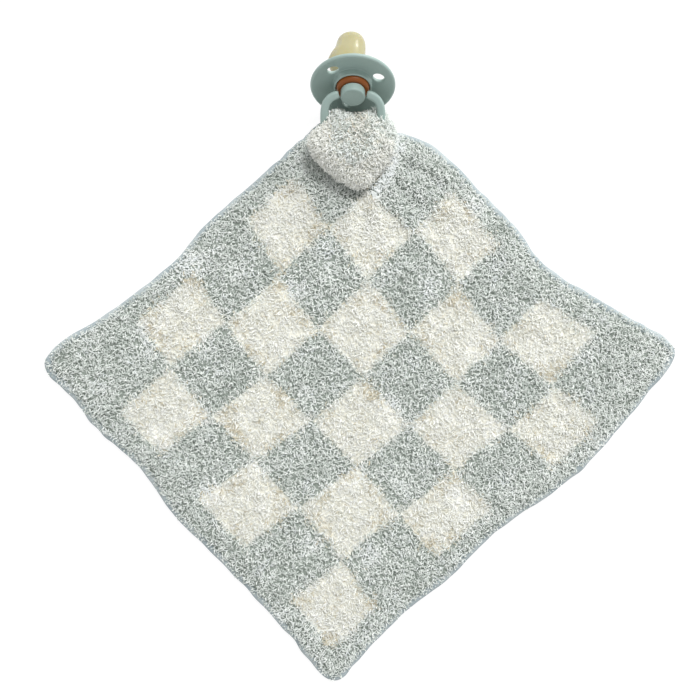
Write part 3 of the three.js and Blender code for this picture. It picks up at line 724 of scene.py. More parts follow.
def laid_pile():
    """Rows of strand values over the cloth's face, and which of them are cream. Strands are short at
    the edge, on the ridge and in the crease, flatter, wider and paler in patches and on the ridge, its
    paler tone painted light, and in other patches some at the cream checks' borders are light brown,
    painted warm shade."""
    right, left = scattered(PILE_INSET, PILE_PER_MM2)
    root = cloth_point(right, left)
    inside = from_edge(right, left)
    kept = (np.hypot(root[:, 0] - NECK[0], root[:, 1] - NECK[1] - 2) > BARE_NECK) \
        & (chance.uniform(0, 1, len(right)) < smoothstep(inside, *PILE_EDGE))
    right, left, root, inside = right[kept], left[kept], root[kept], inside[kept]
    count = len(right)
    full = at_least(EDGE_SHARE, smoothstep(inside, 0, PILE_FULL))
    x, y = root[:, 0], root[:, 1]
    ridge = ridge_share(x, y)
    pressed = smoothstep(wander(x, y, 30, 62), *PRESSED)
    root[:, 2] -= ROOT_DEPTH
    tone = np.clip(chance.beta(*TONES, count) + uneven(x, y, TONE_PATCHES), 0, 1)
    rows = strand_rows(root, brushed_headings(x, y), (0.0, 0.0, 1.0), PILE_RANGES)
    rows["reach"] *= full
    rows["rise"] *= full
    rows["rise"] *= 1 + uneven(x, y, RISE_PATCHES)
    rows["rise"] *= 1 - LOST_RISE["ridge"] * ridge - LOST_RISE["crease"] * crease_share(x, y)
    rows["rise"] *= 1 - LOST_RISE["pressed"] * pressed
    wider = MORE_WIDTH["ridge"] * ridge
    rows["width"] *= 1 + uneven(x, y, WIDTH_PATCHES) + wider + MORE_WIDTH["pressed"] * pressed
    # Paler tone on the ridge is painted light.
    paler = np.maximum(PALER["ridge"] * ridge, PALER["pressed"] * pressed)
    tone += (1 - tone) * paler
    cream = shown_cream(right, left)
    rows["rise"] *= np.where(cream, CREAM_RISE, 1)
    # Tan strands in patches at the cream checks' borders are painted warm shade.
    patch = chance.uniform(-0.1, 1.6, count) < wander(x, y, 26, 61)
    warm_shade = patch & cream & (from_border(right, left) < WARM_SHADE_REACH)
    rows["tone"] = np.where(warm_shade, chance.uniform(0, WARM_SHADE_TONE, count), tone)
    return rows, cream


def under_pile():
    """The same for the underside, where short strands are pressed flat under the cloth."""
    right, left = scattered(UNDER_INSET, UNDER_PILE_PER_MM2)
    root = cloth_point(right, left)
    root[:, 2] = GROUND_FOOT + 0.1
    heading = brushed_headings(root[:, 0], root[:, 1])
    rows = strand_rows(root, heading, (0.0, 0.0, -1.0), UNDER_RANGES)
    rows["tone"] = chance.beta(*TONES, len(root))
    return rows, ~shown_cream(right, left)


def on_blanket():
    """Makes a dress for pieces of the cloth that lies still."""
    def dress(made):
        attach(made, "blanket")
    return dress


ground = ground_cloth()
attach(ground, "blanket")
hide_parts("blanket_panel")

cloth_pieces = []
for face, slot, (face_rows, face_cream) in (
    ("", "knit_face", laid_pile()),
    ("under_", "knit_reverse", under_pile()),
):
    for colour, finish, chosen in (("sage", sage_pile, ~face_cream), ("cream", cream_pile, face_cream)):
        name = f"{face}{colour}_pile"
        cloth_pieces += pile_pieces(name, finish, chosen_rows(face_rows, chosen), on_blanket())


# Rolled edges

def edge_finish():
    """Tightly rolled knit in a bluish grey, with slanting stitches as a bump."""
    finish = Finish("rolled knit", Roughness=0.9)
    place = finish.object_place()
    patch = finish.noise(place, 90, 3)
    fibre = finish.noise(place, 1400, 2, 0.7)
    soft = finish.mixed(patch.smooth(0.3, 0.7), paint(176, 188, 192), paint(206, 215, 216))
    finish.feed("Base Color", finish.mixed(fibre * 0.5, soft, paint(150, 163, 166)))
    finish.bump(fibre, 0.0005, 0.6)
    return finish


edge_knit = edge_finish()


ROLL_RADIUS = 2.3
ROLL_FLATNESS = 0.75
ROLL_STEPS = 260
ROLL_POINTS = 20


def rolled_edge(name, start, end, seed):
    """A roll just inside the silhouette: rings round a line that follows the edge of the laid cloth,
    whose place and thickness wander a little along it."""
    share = np.linspace(0, 1, ROLL_STEPS)[:, None]
    flat = np.array(start, float) * (1 - share) + np.array(end, float) * share
    x, y = laid(flat[:, 0], flat[:, 1])
    length = share[:, 0] * CLOTH_SIDE
    along = np.stack([np.gradient(x), np.gradient(y)], -1)
    along /= np.linalg.norm(along, axis=1)[:, None]
    radius = ROLL_RADIUS * (0.97 + uneven(length, 0 * length, (0.1, 17, seed)))
    shift = uneven(length, 0 * length, (0.35, 12, seed + 1))
    turn = round_turns(ROLL_POINTS)
    out = shift[:, None] - radius[:, None] * np.cos(turn)
    ring = np.stack([
        x[:, None] + along[:, 1:] * out,
        y[:, None] - along[:, :1] * out,
        radius[:, None] * ROLL_FLATNESS * (1 + np.sin(turn)) + LOWEST,
    ], -1)
    made = made_mesh(name, *closed_tube(ring), edge_knit)
    on_blanket()(made)
    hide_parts(name.replace("hem", "edge_roll"))
    return made


NEAR = ROLL_RADIUS
FAR = CLOTH_SIDE - ROLL_RADIUS
HEM_END = 226  # where the upper sides' rolls run in under the flap
hems = [
    rolled_edge("hem_lower_right", (NEAR, NEAR), (FAR, NEAR), 11),
    rolled_edge("hem_upper_right", (FAR, NEAR), (FAR, HEM_END), 13),
    rolled_edge("hem_upper_left", (HEM_END, FAR), (NEAR, FAR), 15),
    rolled_edge("hem_lower_left", (NEAR, FAR), (NEAR, NEAR), 17),
]


# Folded corner. Its places count from the ring's lowest stretch.

LOOP_FROM = -32 * DEGREE
LOOP_TO = 90 * DEGREE
LOOP_STEPS = 18
LOOP_LOSS_FROM = 25 * DEGREE
LOOP_SPREAD_FROM = 52 * DEGREE
LOOP_INNER = 3.1
LOOP_INNER_GAIN = 2.4  # up at the fold's crown
LOOP_OUTER = 19.6
LOOP_OUTER_LOSS = 7.6  # up at the crown
LOOP_HALF_WIDTH = 12.9
LOOP_WIDENING = 8.5  # up at the crown
LOOP_SHIFT = 0.4  # to the left
PLEATS = 9
PLEAT_DEPTH = 0.06
DIP_DEPTH = 0.34  # in the middle of the outer side, under the knob
DIP_MIDDLE = 1.5
DIP_HALF_WIDTH = 6.0
FOLD_LOWEST = 0.8  # over the table
FOLD_POINTS = 56
FOLD_LUMPS = (0.5, 11, 21)
FLAP_STEPS = 22
FLAP_START = 0.2
FLAP_LENGTH = 20.6
FLAP_BLUNT = 0.2  # share of its length over which its end rounds off
FLAP_END_WIDTH = 0.35  # shares left at the very end
FLAP_END_HEIGHT = 0.3
FLAP_TOP = 12.0
FLAP_FALL = 8.6
FLAP_CROWN = 0.7
FLAP_FOOT = 4.2
FLAP_FOOT_FALL = 5.0
FLAP_FOOT_LOWEST = -0.6
FLAP_WAIST = 0.4  # share of the height at which the flap is widest
EDGE_DROOP = 2.4  # of the flap's edge towards the cloth
FLAP_LEFT = [(0, 21.6), (0.14, 21.4), (0.33, 18.0), (0.58, 12.4), (0.82, 6.0), (1, -1.5)]
FLAP_RIGHT = [(0, 20.8), (0.2, 19.8), (0.42, 16.2), (0.68, 12.0), (0.88, 9.2), (1, 7.0)]


def along_stops(share, stops):
    """A smooth curve through stops of share and value: straight between them, then averaged over
    a tenth of the length to either side."""
    near = share[:, None] + np.linspace(-0.09, 0.09, 9)
    at, values = np.array(stops, float).T
    return np.interp(np.clip(near, 0, 1), at, values).mean(1)


def squared_off(value, power):
    """A cosine or sine raised to a power below 1 with its sign, which draws a circle to a square."""
    return np.sign(value) * np.abs(value) ** power


def blunt_end(share, length):
    """1, and over the last stretch of that length a quarter circle down to nearly 0."""
    return np.sqrt(np.clip(1 - np.clip((share - (1 - length)) / length, 0, 1) ** 2, 0.02, 1))


def loop_rings(angle):
    """Rings of the cloth that runs up through the soother's ring: squared-off ellipses between two
    distances from the ring's lowest stretch, each at one turn round it, with gathers along them."""
    turn = np.linspace(LOOP_FROM, LOOP_TO, LOOP_STEPS)
    above = smoothstep(turn, LOOP_LOSS_FROM, LOOP_TO)
    spread = smoothstep(turn, LOOP_SPREAD_FROM, LOOP_TO)
    inner = LOOP_INNER + LOOP_INNER_GAIN * spread
    outer = LOOP_OUTER - LOOP_OUTER_LOSS * above
    half = LOOP_HALF_WIDTH + LOOP_WIDENING * spread
    pleat = 1 - PLEAT_DEPTH * (1 - np.cos(PLEATS * angle + 0.7)) / 2
    x = half[:, None] * squared_off(np.cos(angle), 0.5) * pleat - LOOP_SHIFT
    bell = np.exp(-((x - DIP_MIDDLE) / DIP_HALF_WIDTH) ** 2)
    dip = 1 - DIP_DEPTH * bell * (1 - above)[:, None] * (np.sin(angle) > 0)
    bulge = squared_off(np.sin(angle), 0.6) * pleat * dip
    distance = (inner + outer)[:, None] / 2 + bulge * (outer - inner)[:, None] / 2
    return np.stack([x, distance * np.cos(turn)[:, None], distance * np.sin(turn)[:, None]], -1)


def flap_rings(angle):
    """Rings of the flap from the fold's crown to its tip: round above and flatter below, with edges
    that droop with the fourth power of the way out, and a blunt end."""
    share = np.linspace(0, 1, FLAP_STEPS + 1)[1:]
    left = -along_stops(share, FLAP_LEFT)
    right = along_stops(share, FLAP_RIGHT)
    end = blunt_end(share, FLAP_BLUNT)
    middle = (left + right) / 2
    reach = (right - left) / 2 * at_least(FLAP_END_WIDTH, end)
    top = FLAP_TOP - FLAP_FALL * smoothstep(share, 0, 1.1) + FLAP_CROWN * np.sin(math.pi * share)
    foot = np.maximum(FLAP_FOOT - FLAP_FOOT_FALL * smoothstep(share, 0, 0.3), FLAP_FOOT_LOWEST)
    crest = foot + (top - foot) * at_least(FLAP_END_HEIGHT, end)
    waist = foot + (crest - foot) * FLAP_WAIST
    sine = np.sin(angle)
    across = squared_off(np.cos(angle), 0.8)
    above = waist[:, None] + np.abs(sine) ** 0.9 * (crest - waist)[:, None]
    below = waist[:, None] - np.minimum(1, 2 * np.abs(sine)) * (waist - foot)[:, None] \
        - EDGE_DROOP * share[:, None] ** 0.5 * np.abs(across) ** 4
    return np.stack([
        middle[:, None] + reach[:, None] * across,
        np.broadcast_to(-FLAP_START - FLAP_LENGTH * share[:, None], above.shape),
        np.where(sine > 0, above, below),
    ], -1)


def fold_sections():
    """Rings of the whole folded corner, with lumps on its upper side."""
    angle = round_turns(FOLD_POINTS)
    sections = np.concatenate([loop_rings(angle), flap_rings(angle)])
    lumps = uneven(sections[..., 0] + sections[..., 2], sections[..., 1], FOLD_LUMPS)
    sections[..., 2] += lumps * np.maximum(np.sin(angle), 0)
    sections += NECK
    sections[..., 2] = np.maximum(sections[..., 2], FOLD_LOWEST)
    return sections


# Side -1 is left and 1 right.
SHOULDER_LENGTHS = {-1: 13.6, 1: 19}
SHOULDER_OUTER = {
    -1: [(0, 22.0), (0.3, 23.0), (0.6, 20.5), (0.85, 16.0), (1, 14.5)],
    1: [(0, 22.0), (0.3, 22.4), (0.6, 20.8), (0.85, 19.0), (1, 18.0)],
}
SHOULDER_INNER = 4.5
SHOULDER_INNER_GAIN = 3
SHOULDER_TOP = [(0, 10.6), (0.5, 10.2), (1, 8.6)]
SHOULDER_FOOT = [(0, -1.5), (1, 1.5)]
SHOULDER_BLUNT = 0.45
SHOULDER_END_WIDTH = 0.5
SHOULDER_END_HEIGHT = 0.4
SHOULDER_NOSE = 1.5  # how far the end turns up
SHOULDER_TILT = 0.4
SHOULDER_STEPS = 15
SHOULDER_POINTS = 32


def shoulder_sections(side):
    """Rings of the cloth that bulges out beside the fold and covers one arm of the ring, from the flap's
    root forward to its blunt front: ellipses between an inner and an outer line, a top and a foot."""
    angle = round_turns(SHOULDER_POINTS)
    share = np.linspace(0, 1, SHOULDER_STEPS)
    blunt = blunt_end(share, SHOULDER_BLUNT)
    forward = -1 + SHOULDER_LENGTHS[side] * share
    outer = along_stops(share, SHOULDER_OUTER[side])
    inner = SHOULDER_INNER + SHOULDER_INNER_GAIN * share
    middle = (outer + inner) / 2
    half = (outer - inner) / 2 * at_least(SHOULDER_END_WIDTH, blunt)
    top = along_stops(share, SHOULDER_TOP)
    foot = along_stops(share, SHOULDER_FOOT)
    tall = (top - foot) / 2 * at_least(SHOULDER_END_HEIGHT, blunt)
    height = ((top + foot) / 2)[:, None] + tall[:, None] * np.cos(angle)
    height += (1 - blunt)[:, None] * SHOULDER_NOSE
    rings = np.stack([
        side * middle[:, None] + half[:, None] * np.sin(angle),
        np.broadcast_to(forward[:, None], height.shape),
        height - side * SHOULDER_TILT,
    ], -1)
    rings[..., 2] += uneven(rings[..., 0], rings[..., 1], (0.5, 8, 31 + side))
    return rings + NECK


WEDGE_TIP = 9.5  # in front of the ring's lowest stretch
WEDGE_SLOPE = 1.6
WEDGE_HALF_WIDTH = 11
WEDGE_MIDDLE = 0.5
OVAL_MIDDLE = (3, 8)
OVAL_RADII = (6.5, 9)
COLOUR_STRAY = 1.8


def fold_colours(place):
    """Where the turned-over cloth is cream and where sage. Cream lies outside a wedge that opens
    backwards from near the flap's tip to a band, sage inside it but for a mingled oval."""
    x = place[:, 0] - NECK[0]
    y = place[:, 1] - NECK[1]
    stray = chance.normal(0, COLOUR_STRAY, (2, len(place)))
    wedge = np.minimum((y + WEDGE_TIP) * WEDGE_SLOPE, WEDGE_HALF_WIDTH)
    cream = wedge - np.abs(x - WEDGE_MIDDLE) + stray[0] < 0
    oval = np.hypot((x - OVAL_MIDDLE[0]) / OVAL_RADII[0], (y - OVAL_MIDDLE[1]) / OVAL_RADII[1])
    sage = ~cream & (oval + stray[1] / 8 > 1)
    return cream, sage


def scattered_on(sections, per_mm2):
    """Random places on a closed skin of rings, as many to each cell as its area asks for, with the
    skin's outward direction there."""
    rings = np.concatenate([sections, sections[:, :1]], 1)
    a, b = rings[:-1, :-1], rings[:-1, 1:]
    c, d = rings[1:, :-1], rings[1:, 1:]
    normal = np.cross(b - a, c - a)
    area = np.linalg.norm(normal, axis=-1)
    count = int(area.sum() * per_mm2)
    cell = chance.choice(area.size, count, p=(area / area.sum()).ravel())
    row, column = np.unravel_index(cell, area.shape)
    s, t = chance.uniform(0, 1, (2, count, 1))
    root = (a[row, column] * (1 - s) + c[row, column] * s) * (1 - t) \
        + (b[row, column] * (1 - s) + d[row, column] * s) * t
    return root, normal[row, column] / area[row, column][:, None]


UPRIGHT = 0.7  # how much strands lean from the skin's direction towards upright
PARTING = np.array([1.5, 4, 0])  # from the ring's lowest stretch
PARTING_REACH = 9
SHORT = 0.35  # of the strands underneath
SKIN_RANGES = {"reach": (1.4, 3.6), "rise": (0.45, 1.8), "width": (0.42, 0.78)}
SKIN_CURL = 1.8


def skin_pile(sections, per_mm2):
    """Rows of strand values over a closed skin. Their headings are random with a pull away from the
    parting on the fold's crest, they stand more upright than the skin does, and are short underneath."""
    root, outwards = scattered_on(sections, per_mm2)
    count = len(root)
    upwards = outwards + np.array([0, 0, UPRIGHT]) * (outwards[:, 2:] > -0.5)
    upwards /= np.linalg.norm(upwards, axis=1)[:, None]
    flow = root - (NECK + PARTING)
    flow[:, 2] = 0
    heading = chance.normal(0, 1, (count, 3)) + flow / PARTING_REACH
    heading -= (heading * upwards).sum(1)[:, None] * upwards
    heading /= np.linalg.norm(heading, axis=1)[:, None]
    short = np.where(outwards[:, 2] < -0.4, SHORT, 1)
    rows = strand_rows(root - ROOT_DEPTH * outwards, heading, upwards, SKIN_RANGES, SKIN_CURL)
    rows["reach"] *= short
    rows["rise"] *= short
    rows["tone"] = chance.beta(*TONES, count)
    return rows


FOLD_PILE_PER_MM2 = 1.5
SHOULDER_PILE_PER_MM2 = 1.4


def across_hinge(made):
    """Bakes the placing of a piece of the folded corner into its mesh."""
    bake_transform(made)


def gives_way(made):
    """Attaches a piece of the cloth over the ring's arms to the blanket and gives it a mesh of its own."""
    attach(made, "blanket")
    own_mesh(made)


fold = fold_sections()
fold_ground = made_mesh("corner_ground", *closed_tube(fold), mingled_ground)
across_hinge(fold_ground)
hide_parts("corner_loop", "corner_flap", "flap_edge_left", "flap_edge_right")

fold_rows = skin_pile(fold, FOLD_PILE_PER_MM2)
fold_cream, fold_sage = fold_colours(fold_rows["root"])
corner_pieces = []
for colour, finish, chosen in (
    ("cream", cream_pile, fold_cream),
    ("sage", sage_pile, fold_sage),
    ("mingled", mingled_pile, ~fold_cream & ~fold_sage),
):
    rows = chosen_rows(fold_rows, chosen)
    corner_pieces += pile_pieces(f"corner_{colour}_pile", finish, rows, across_hinge)

shoulder_pieces = []
for name, side, finish in (("shoulder_left", -1, cream_pile), ("shoulder_right", 1, sage_pile)):
    shoulder = shoulder_sections(side)
    shoulder_ground = made_mesh(name, *closed_tube(shoulder), mingled_ground)
    gives_way(shoulder_ground)
    shoulder_pieces.append(shoulder_ground)
    rows = skin_pile(shoulder, SHOULDER_PILE_PER_MM2)
    shoulder_pieces += pile_pieces(f"{name}_pile", finish, rows, gives_way)


# Soother. Heights run along its axis from the rim's plane, positive towards the plug.

AXIS = np.array([0, -0.8846, 0.4664])
UP = np.array([0, 0.4664, 0.8846])
PEG_PLACE = 5.4
RIM_MIDDLE = PEGS - AXIS * PEG_PLACE

SHIELD_RADIUS = 22.5
SHIELD_WALL = 2.3
SHIELD_DISH = 5.0
BORE_RADIUS = 7.2
BORE_EDGE = 0.5
COLLAR_RADIUS = 10.0
COLLAR_WALL = 1.1
COLLAR_HEIGHT = 5.1
FILLET = 0.6  # at the collar's foot
FILLET_LIFT = 0.75
FILLET_REACH = 0.8
CHAMFER = 0.3
VENT_RADIUS = 3.2
VENT_CIRCLE = 14.2
VENT_TURNS = (137.0, 260.0, 17.0)
VENT_LIP = 0.45
CUTTER_REACH = 1.2  # shares of the wall to either side of its middle
CUTTER_STEPS = 25
CUTTER_POINTS = 64
SEAT_RADIUS = 8.7
SEAT_FROM = -2.35
SEAT_FRONT = 3.15
SEAT_BACK_ROUNDING = 1.2
SEAT_FRONT_ROUNDING = 1.9
STEM_RADIUS = 5.2
STEM_ROUNDING = 0.7
STEM_REACH = 3.95  # behind the shield's floor, up to the rounding
KNOB_RADIUS = 6.4
KNOB_FRONT = 8.2
KNOB_BEVEL = 0.9
KNOB_FACE = [(5.0, 0.12), (0.4, 0.3)]  # radius, and how far sunk
RING_RADIUS = 15.1
RING_CROWN = 13.95
RING_SQUARENESS = 3.25
RING_END_ROOM = 1.0
RING_END_SHARES = np.array([0.72, 0.88, 0.96, 0.99, 1.0])  # of its section, from the end inwards
RING_WIDTH = 4.4
RING_THICKNESS = 4.0
RING_SLOPE = 27.7 * DEGREE
RING_CORNER = 1.4
RING_STEPS = 120
FACETS = 160


def on_soother(points):
    """Carries points from the soother's own axes, Z along the plug, into the part's frame."""
    points = np.asarray(points, float)
    across = points[..., :1] * np.array([1.0, 0, 0])
    return across + points[..., 1:2] * UP + points[..., 2:] * AXIS + RIM_MIDDLE


def quarter(middle_radius, middle_height, radius, start, end, steps=6):
    """Points of an arc between two turns in degrees, as [radius, height] rows."""
    turn = np.linspace(start, end, steps) * DEGREE
    return [[middle_radius + radius * math.cos(t), middle_height + radius * math.sin(t)] for t in turn]


def plastic_finish(name, colour, worn, roughness, **settings):
    """Moulded plastic: a little cloudiness in the colour, fine scuffs in the roughness and an orange
    peel that only shows in reflections."""
    finish = Finish(name, Coat_Weight=0.08, Coat_Roughness=0.3, **settings)
    place = finish.object_place()
    cloud = finish.noise(place, 60, 3)
    scuff = finish.noise(place, 420, 4, 0.6)
    finish.feed("Base Color", finish.mixed(cloud.smooth(0.3, 0.75), colour, worn))
    finish.feed("Roughness", scuff * 0.16 + roughness)
    finish.bump(finish.noise(place, 700, 2), 0.00004, 0.5)
    return finish


sage_plastic = plastic_finish("sage plastic", paint(159, 181, 175), paint(167, 188, 182), 0.36)
amber_rubber = plastic_finish(
    "amber rubber", paint(140, 74, 14), paint(156, 86, 20), 0.3,
    Subsurface_Weight=0.15, Subsurface_Radius=(0.002, 0.001, 0.0005),
)
latex = plastic_finish(
    "natural rubber", paint(173, 167, 122), paint(187, 181, 142), 0.14,
    Subsurface_Weight=0.35, Subsurface_Radius=(0.004, 0.003, 0.001),
)
snap_resin = plastic_finish("snap resin", paint(206, 210, 206), paint(216, 219, 215), 0.4)


def dish(radius):
    """Depth of the shield's middle surface, which is a paraboloid."""
    return -SHIELD_DISH * (1 - (radius / SHIELD_RADIUS) ** 2)


SHIELD_FLOOR = dish(0) + SHIELD_WALL / 2


def shield_profile():
    """The dished disc's back, rounded rim and face, the collar and the bore, as one closed outline."""
    half = SHIELD_WALL / 2
    rim_radius = SHIELD_RADIUS - half
    face = [[r, dish(r) + half] for r in np.linspace(rim_radius, COLLAR_RADIUS + FILLET_REACH, 14)]
    back = [[r, dish(r) - half] for r in np.linspace(BORE_RADIUS + BORE_EDGE, rim_radius, 16)]
    top = SHIELD_FLOOR + COLLAR_HEIGHT
    inside = COLLAR_RADIUS - COLLAR_WALL
    lip = COLLAR_WALL / 2
    foot = dish(COLLAR_RADIUS) + half
    return [
        [BORE_RADIUS, dish(0) - half + BORE_EDGE], *back,
        *quarter(rim_radius, dish(rim_radius), half, -80, 80, 11), *face,
        *quarter(COLLAR_RADIUS + FILLET, foot + FILLET_LIFT, FILLET, 250, 180, 4),
        [COLLAR_RADIUS, top - lip],
        *quarter(COLLAR_RADIUS - lip, top - lip, lip, 0, 180, 11),
        [inside, SHIELD_FLOOR + CHAMFER], [inside - CHAMFER, SHIELD_FLOOR],
        [BORE_RADIUS + CHAMFER, SHIELD_FLOOR], [BORE_RADIUS, SHIELD_FLOOR - CHAMFER],
    ]


def keep_modifiers(made):
    """Replaces a piece's mesh by what its modifiers make of it."""
    shown = made.evaluated_get(bpy.context.evaluated_depsgraph_get())
    shaped = bpy.data.meshes.new_from_object(shown)
    made.modifiers.clear()
    made.data = shaped


def cut_vents(made):
    """Takes the three vents out of the shield with cutters that follow its dish and flare towards both
    faces with the fourth power of the depth, so each vent has a rounded lip."""
    from_middle = np.linspace(-CUTTER_REACH, CUTTER_REACH, CUTTER_STEPS) * SHIELD_WALL
    off = np.clip(np.abs(from_middle) / (SHIELD_WALL / 2), 0, 1.15)
    radius = VENT_RADIUS + VENT_LIP * (off ** 4 - 0.5)
    turn = round_turns(CUTTER_POINTS)
    for vent in VENT_TURNS:
        x = VENT_CIRCLE * math.cos(vent * DEGREE) + radius[:, None] * np.cos(turn)
        y = VENT_CIRCLE * math.sin(vent * DEGREE) + radius[:, None] * np.sin(turn)
        ring = np.stack([x, y, dish(np.hypot(x, y)) + from_middle[:, None]], -1)
        cutter = made_mesh("vent_cutter", *closed_tube(on_soother(ring)), sage_plastic)
        cut = made.modifiers.new("vent", "BOOLEAN")
        cut.operation = "DIFFERENCE"
        cut.solver = "EXACT"
        cut.object = cutter
        keep_modifiers(made)
        bpy.data.objects.remove(cutter)


def crease(made, degrees):
    """Shades edges past that angle as sharp."""
    made.data.set_sharp_from_angle(angle=degrees * DEGREE)


def on_body(made, body, slot, *nodes):
    """Says what a rigid piece rides on and the nodes that it stands for; slot is not used."""
    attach(made, body)
    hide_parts(*nodes)


def spun(profile):
    """Rings of a profile of [radius, height] rows carried round Z."""
    turn = round_turns(FACETS)
    radius, height = np.asarray(profile, float).T[:, :, None]
    return np.stack([
        radius * np.cos(turn),
        radius * np.sin(turn),
        np.broadcast_to(height, (len(radius), FACETS)),
    ], -1)


def bored_piece(name, profile, finish):
    """A turned body with a bore, from a closed profile whose outside is on its right."""
    points = on_soother(spun(profile)).reshape(-1, 3)
    return made_mesh(name, points, [net(len(profile), FACETS, True, True)[:, ::-1]], finish)


def whole_piece(name, profile, finish, shape=lambda rings: rings):
    """A turned body without a bore: rings along the axis from its back to its front, with fans on the
    ends. shape may draw each ring out of round."""
    return made_mesh(name, *closed_tube(on_soother(shape(spun(profile)))), finish)


shield = bored_piece("soother_shield", shield_profile(), sage_plastic)
cut_vents(shield)
crease(shield, 28)
on_body(shield, "soother", "sage_plastic", "shield")

seat_bore = STEM_RADIUS + CHAMFER
seat_profile = [
    [seat_bore, SEAT_FROM],
    *quarter(SEAT_RADIUS - SEAT_BACK_ROUNDING, SEAT_FROM + SEAT_BACK_ROUNDING, SEAT_BACK_ROUNDING, -90, 0),
    *quarter(SEAT_RADIUS - SEAT_FRONT_ROUNDING, SEAT_FRONT - SEAT_FRONT_ROUNDING,
             SEAT_FRONT_ROUNDING, 0, 90, 12),
    [seat_bore, SEAT_FRONT],
]
seat = bored_piece("soother_seat_ring", seat_profile, amber_rubber)
on_body(seat, "soother", "amber_rubber", "seat_ring")

knob_profile = [
    *quarter(STEM_RADIUS - STEM_ROUNDING, SHIELD_FLOOR - STEM_REACH, STEM_ROUNDING, -90, 0, 4),
    [STEM_RADIUS, SEAT_FRONT + CHAMFER],
    [KNOB_RADIUS - CHAMFER, SEAT_FRONT + CHAMFER],
    *quarter(KNOB_RADIUS - CHAMFER, SEAT_FRONT + 2 * CHAMFER, CHAMFER, -90, 0, 4),
    [KNOB_RADIUS, (SEAT_FRONT + KNOB_FRONT) / 2],
    *quarter(KNOB_RADIUS - KNOB_BEVEL, KNOB_FRONT - KNOB_BEVEL, KNOB_BEVEL, 0, 90, 7),
    *[[radius, KNOB_FRONT - sunk] for radius, sunk in KNOB_FACE],
]
knob = whole_piece("soother_knob", knob_profile, sage_plastic)
crease(knob, 35)
on_body(knob, "soother", "sage_plastic", "plug")

TEAT_STEPS = 90
TEAT_POLE = 0.3
TEAT_STOPS = np.array([
    # height along the axis from the shield's middle, radius, and how far the left side bulges out
    (-31.8, 0.0, 0.0), (-31.5, 2.4, 1.0), (-30.2, 4.6, 1.6), (-28.2, 6.1, 1.9), (-25.6, 6.8, 2.0),
    (-22.8, 7.0, 2.3), (-20.0, 6.9, 3.4), (-17.2, 6.8, 5.2), (-14.0, 6.8, 6.4), (-11.0, 6.9, 6.4),
    (-8.0, 7.0, 5.2), (-5.2, 7.3, 3.2), (-3.2, 7.6, 1.2), (-1.9, 7.4, 0.2), (-1.6, 6.9, 0.0),
    (0.6, 6.9, 0.0),
])


def teat_shape(rings):
    """Draws the left side of each ring out by its stop and leaves its right side straight."""
    height = rings[:, 0, 2] - dish(0)
    flare = np.interp(height, TEAT_STOPS[:, 0], TEAT_STOPS[:, 2])[:, None]
    radius = np.hypot(rings[..., 0], rings[..., 1]) + 1e-9
    rings[..., 0] -= flare * (1 - rings[..., 0] / radius) / 2
    return rings


def teat_profile():
    """Rounded tip, bulb, waist and flared foot: stops joined by a smooth curve."""
    place = np.arange(len(TEAT_STOPS))
    near = np.linspace(0, place[-1], TEAT_STEPS)[:, None] + np.linspace(-0.4, 0.4, 5)
    radius = np.interp(near, place, TEAT_STOPS[:, 1]).mean(1)
    height = np.interp(near, place, TEAT_STOPS[:, 0]).mean(1) + dish(0)
    radius[0] = TEAT_POLE
    return np.stack([radius, height], -1)


teat = whole_piece("soother_teat", teat_profile(), latex, teat_shape)
on_body(teat, "soother", "latex", "teat")


def ring_sections():
    """The handle: a band with rounded corners carried round half a circle and, beside the knob, half of
    |x|^n + |y|^n = 1, open at the knob, in a plane that leans down to the cloth."""
    gap = math.asin(((KNOB_RADIUS + RING_END_ROOM) / RING_RADIUS) ** (RING_SQUARENESS / 2))
    turn = np.linspace(math.pi / 2 + gap, 2.5 * math.pi - gap, RING_STEPS)
    cosine, sine = np.cos(turn), np.sin(turn)
    power = np.where(sine > 0, 2 / RING_SQUARENESS, 1)
    middle_x = RING_RADIUS * squared_off(cosine, power)
    middle_y = RING_RADIUS + np.where(sine > 0, RING_CROWN, -RING_RADIUS) * np.abs(sine) ** power
    step = np.stack([np.gradient(middle_x), np.gradient(middle_y)], -1)
    step /= np.linalg.norm(step, axis=1)[:, None]
    flat_across = RING_WIDTH / 2 - RING_CORNER
    flat_through = RING_THICKNESS / 2 - RING_CORNER
    band = []
    for start, (right, up) in zip((0, 90, 180, 270), ((1, 1), (-1, 1), (-1, -1), (1, -1))):
        band += quarter(right * flat_across, up * flat_through, RING_CORNER, start, start + 90)
    across, through = np.array(band).T
    end = np.minimum(np.arange(RING_STEPS), np.arange(RING_STEPS)[::-1])
    drawn = RING_END_SHARES[np.minimum(end, len(RING_END_SHARES) - 1)][:, None]
    x = middle_x[:, None] + step[:, 1:] * across * drawn
    outward = middle_y[:, None] - step[:, :1] * across * drawn
    rise = through * drawn
    return np.stack([
        x + NECK[0],
        outward * math.cos(RING_SLOPE) - rise * math.sin(RING_SLOPE) + NECK[1],
        outward * math.sin(RING_SLOPE) + rise * math.cos(RING_SLOPE) + NECK[2],
    ], -1)


ring = made_mesh("soother_ring", *closed_tube(ring_sections()[:, ::-1]), sage_plastic)
crease(ring, 40)
on_body(ring, "handle", "sage_plastic", "handle_ring")

for node in ("snap_stud", "snap_socket"):
    node_mesh = frame["nodes"][node].data
    node_mesh.materials.clear()
    node_mesh.materials.append(snap_resin.material)


# Camera, floor and light. Camera and lamps are placed in metres, the table in millimetres.

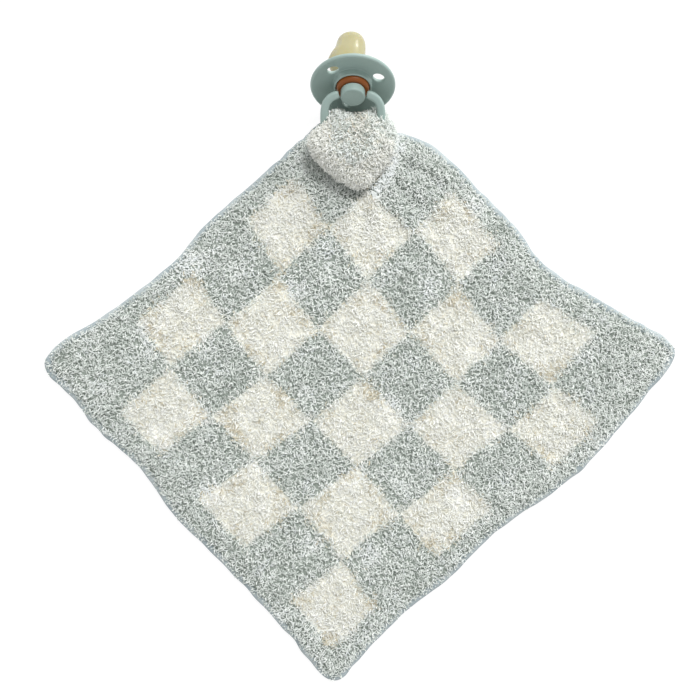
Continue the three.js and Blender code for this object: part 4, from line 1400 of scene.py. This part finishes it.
WHITE = (1, 1, 1, 1)
CAMERA_PLACE = (-0.0054, 0.00544, 0.520)
LENS = 48.62  # of a camera 36 mm wide
TABLE_GREY = (0.86, 0.86, 0.86, 1)
TABLE_HALF = 2500
TABLE_HEIGHT = -0.3
TABLE_GLOW = 1.12
GLOW_SHARE = 0.8  # of what the camera sees of the table
ROOM_STRENGTH = 0.58
LAMPS = (  # name, place, width and power
    ("window", (0.97, 1.82, 2.45), 0.8, 54.4),
    ("side_window", (1.3, 1.8, 0.8), 0.43, 17.0),
)


def camera():
    """Looks straight down from where the photograph was taken."""
    data = bpy.data.cameras.new("overhead")
    data.sensor_width = 36
    data.lens = LENS
    made = bpy.data.objects.new("overhead", data)
    made.location = CAMERA_PLACE
    bpy.context.collection.objects.link(made)
    bpy.context.scene.camera = made


def floor():
    """A pale table that looks white to the camera and keeps a soft shadow."""
    finish = Finish("white table", Roughness=0.9, Base_Color=TABLE_GREY)
    seen = finish.rays("Is Camera Ray", "Is Glossy Ray", "Is Transmission Ray")
    glow = finish.node("ShaderNodeEmission", None, {"Color": WHITE, "Strength": TABLE_GLOW})
    values = {0: seen * GLOW_SHARE, 1: finish.shader, 2: glow}
    finish.show(finish.node("ShaderNodeMixShader", None, values))
    corners = np.array([[-1, -1, 0], [1, -1, 0], [1, 1, 0], [-1, 1, 0]]) * TABLE_HALF
    points = corners + np.array([0, 0, TABLE_HEIGHT])
    made = made_mesh("table", points, [np.array([[0, 1, 2, 3]])], finish, smooth=False)


def lamp(name, place, size, power):
    """A square lamp that points at the middle of the part's underside."""
    data = bpy.data.lights.new(name, "AREA")
    data.size = size
    data.energy = power
    made = bpy.data.objects.new(name, data)
    made.location = place
    made.rotation_mode = "QUATERNION"
    made.rotation_quaternion = (-Vector(place)).to_track_quat("-Z", "Y")
    bpy.context.collection.objects.link(made)


def room():
    """A soft white room, which the camera sees as pure white."""
    world = bpy.data.worlds.new("room")
    bpy.context.scene.world = world
    world.use_nodes = True
    nodes = Nodes(world.node_tree, "ShaderNodeOutputWorld")
    soft = nodes.node("ShaderNodeBackground", None, {"Color": WHITE, "Strength": ROOM_STRENGTH})
    backdrop = nodes.node("ShaderNodeBackground", None, {"Color": WHITE})
    values = {0: nodes.rays("Is Camera Ray"), 1: soft, 2: backdrop}
    nodes.show(nodes.node("ShaderNodeMixShader", None, values))


camera()
floor()
room()
for row in LAMPS:
    lamp(*row)

bpy.context.scene.view_settings.view_transform = "Standard"
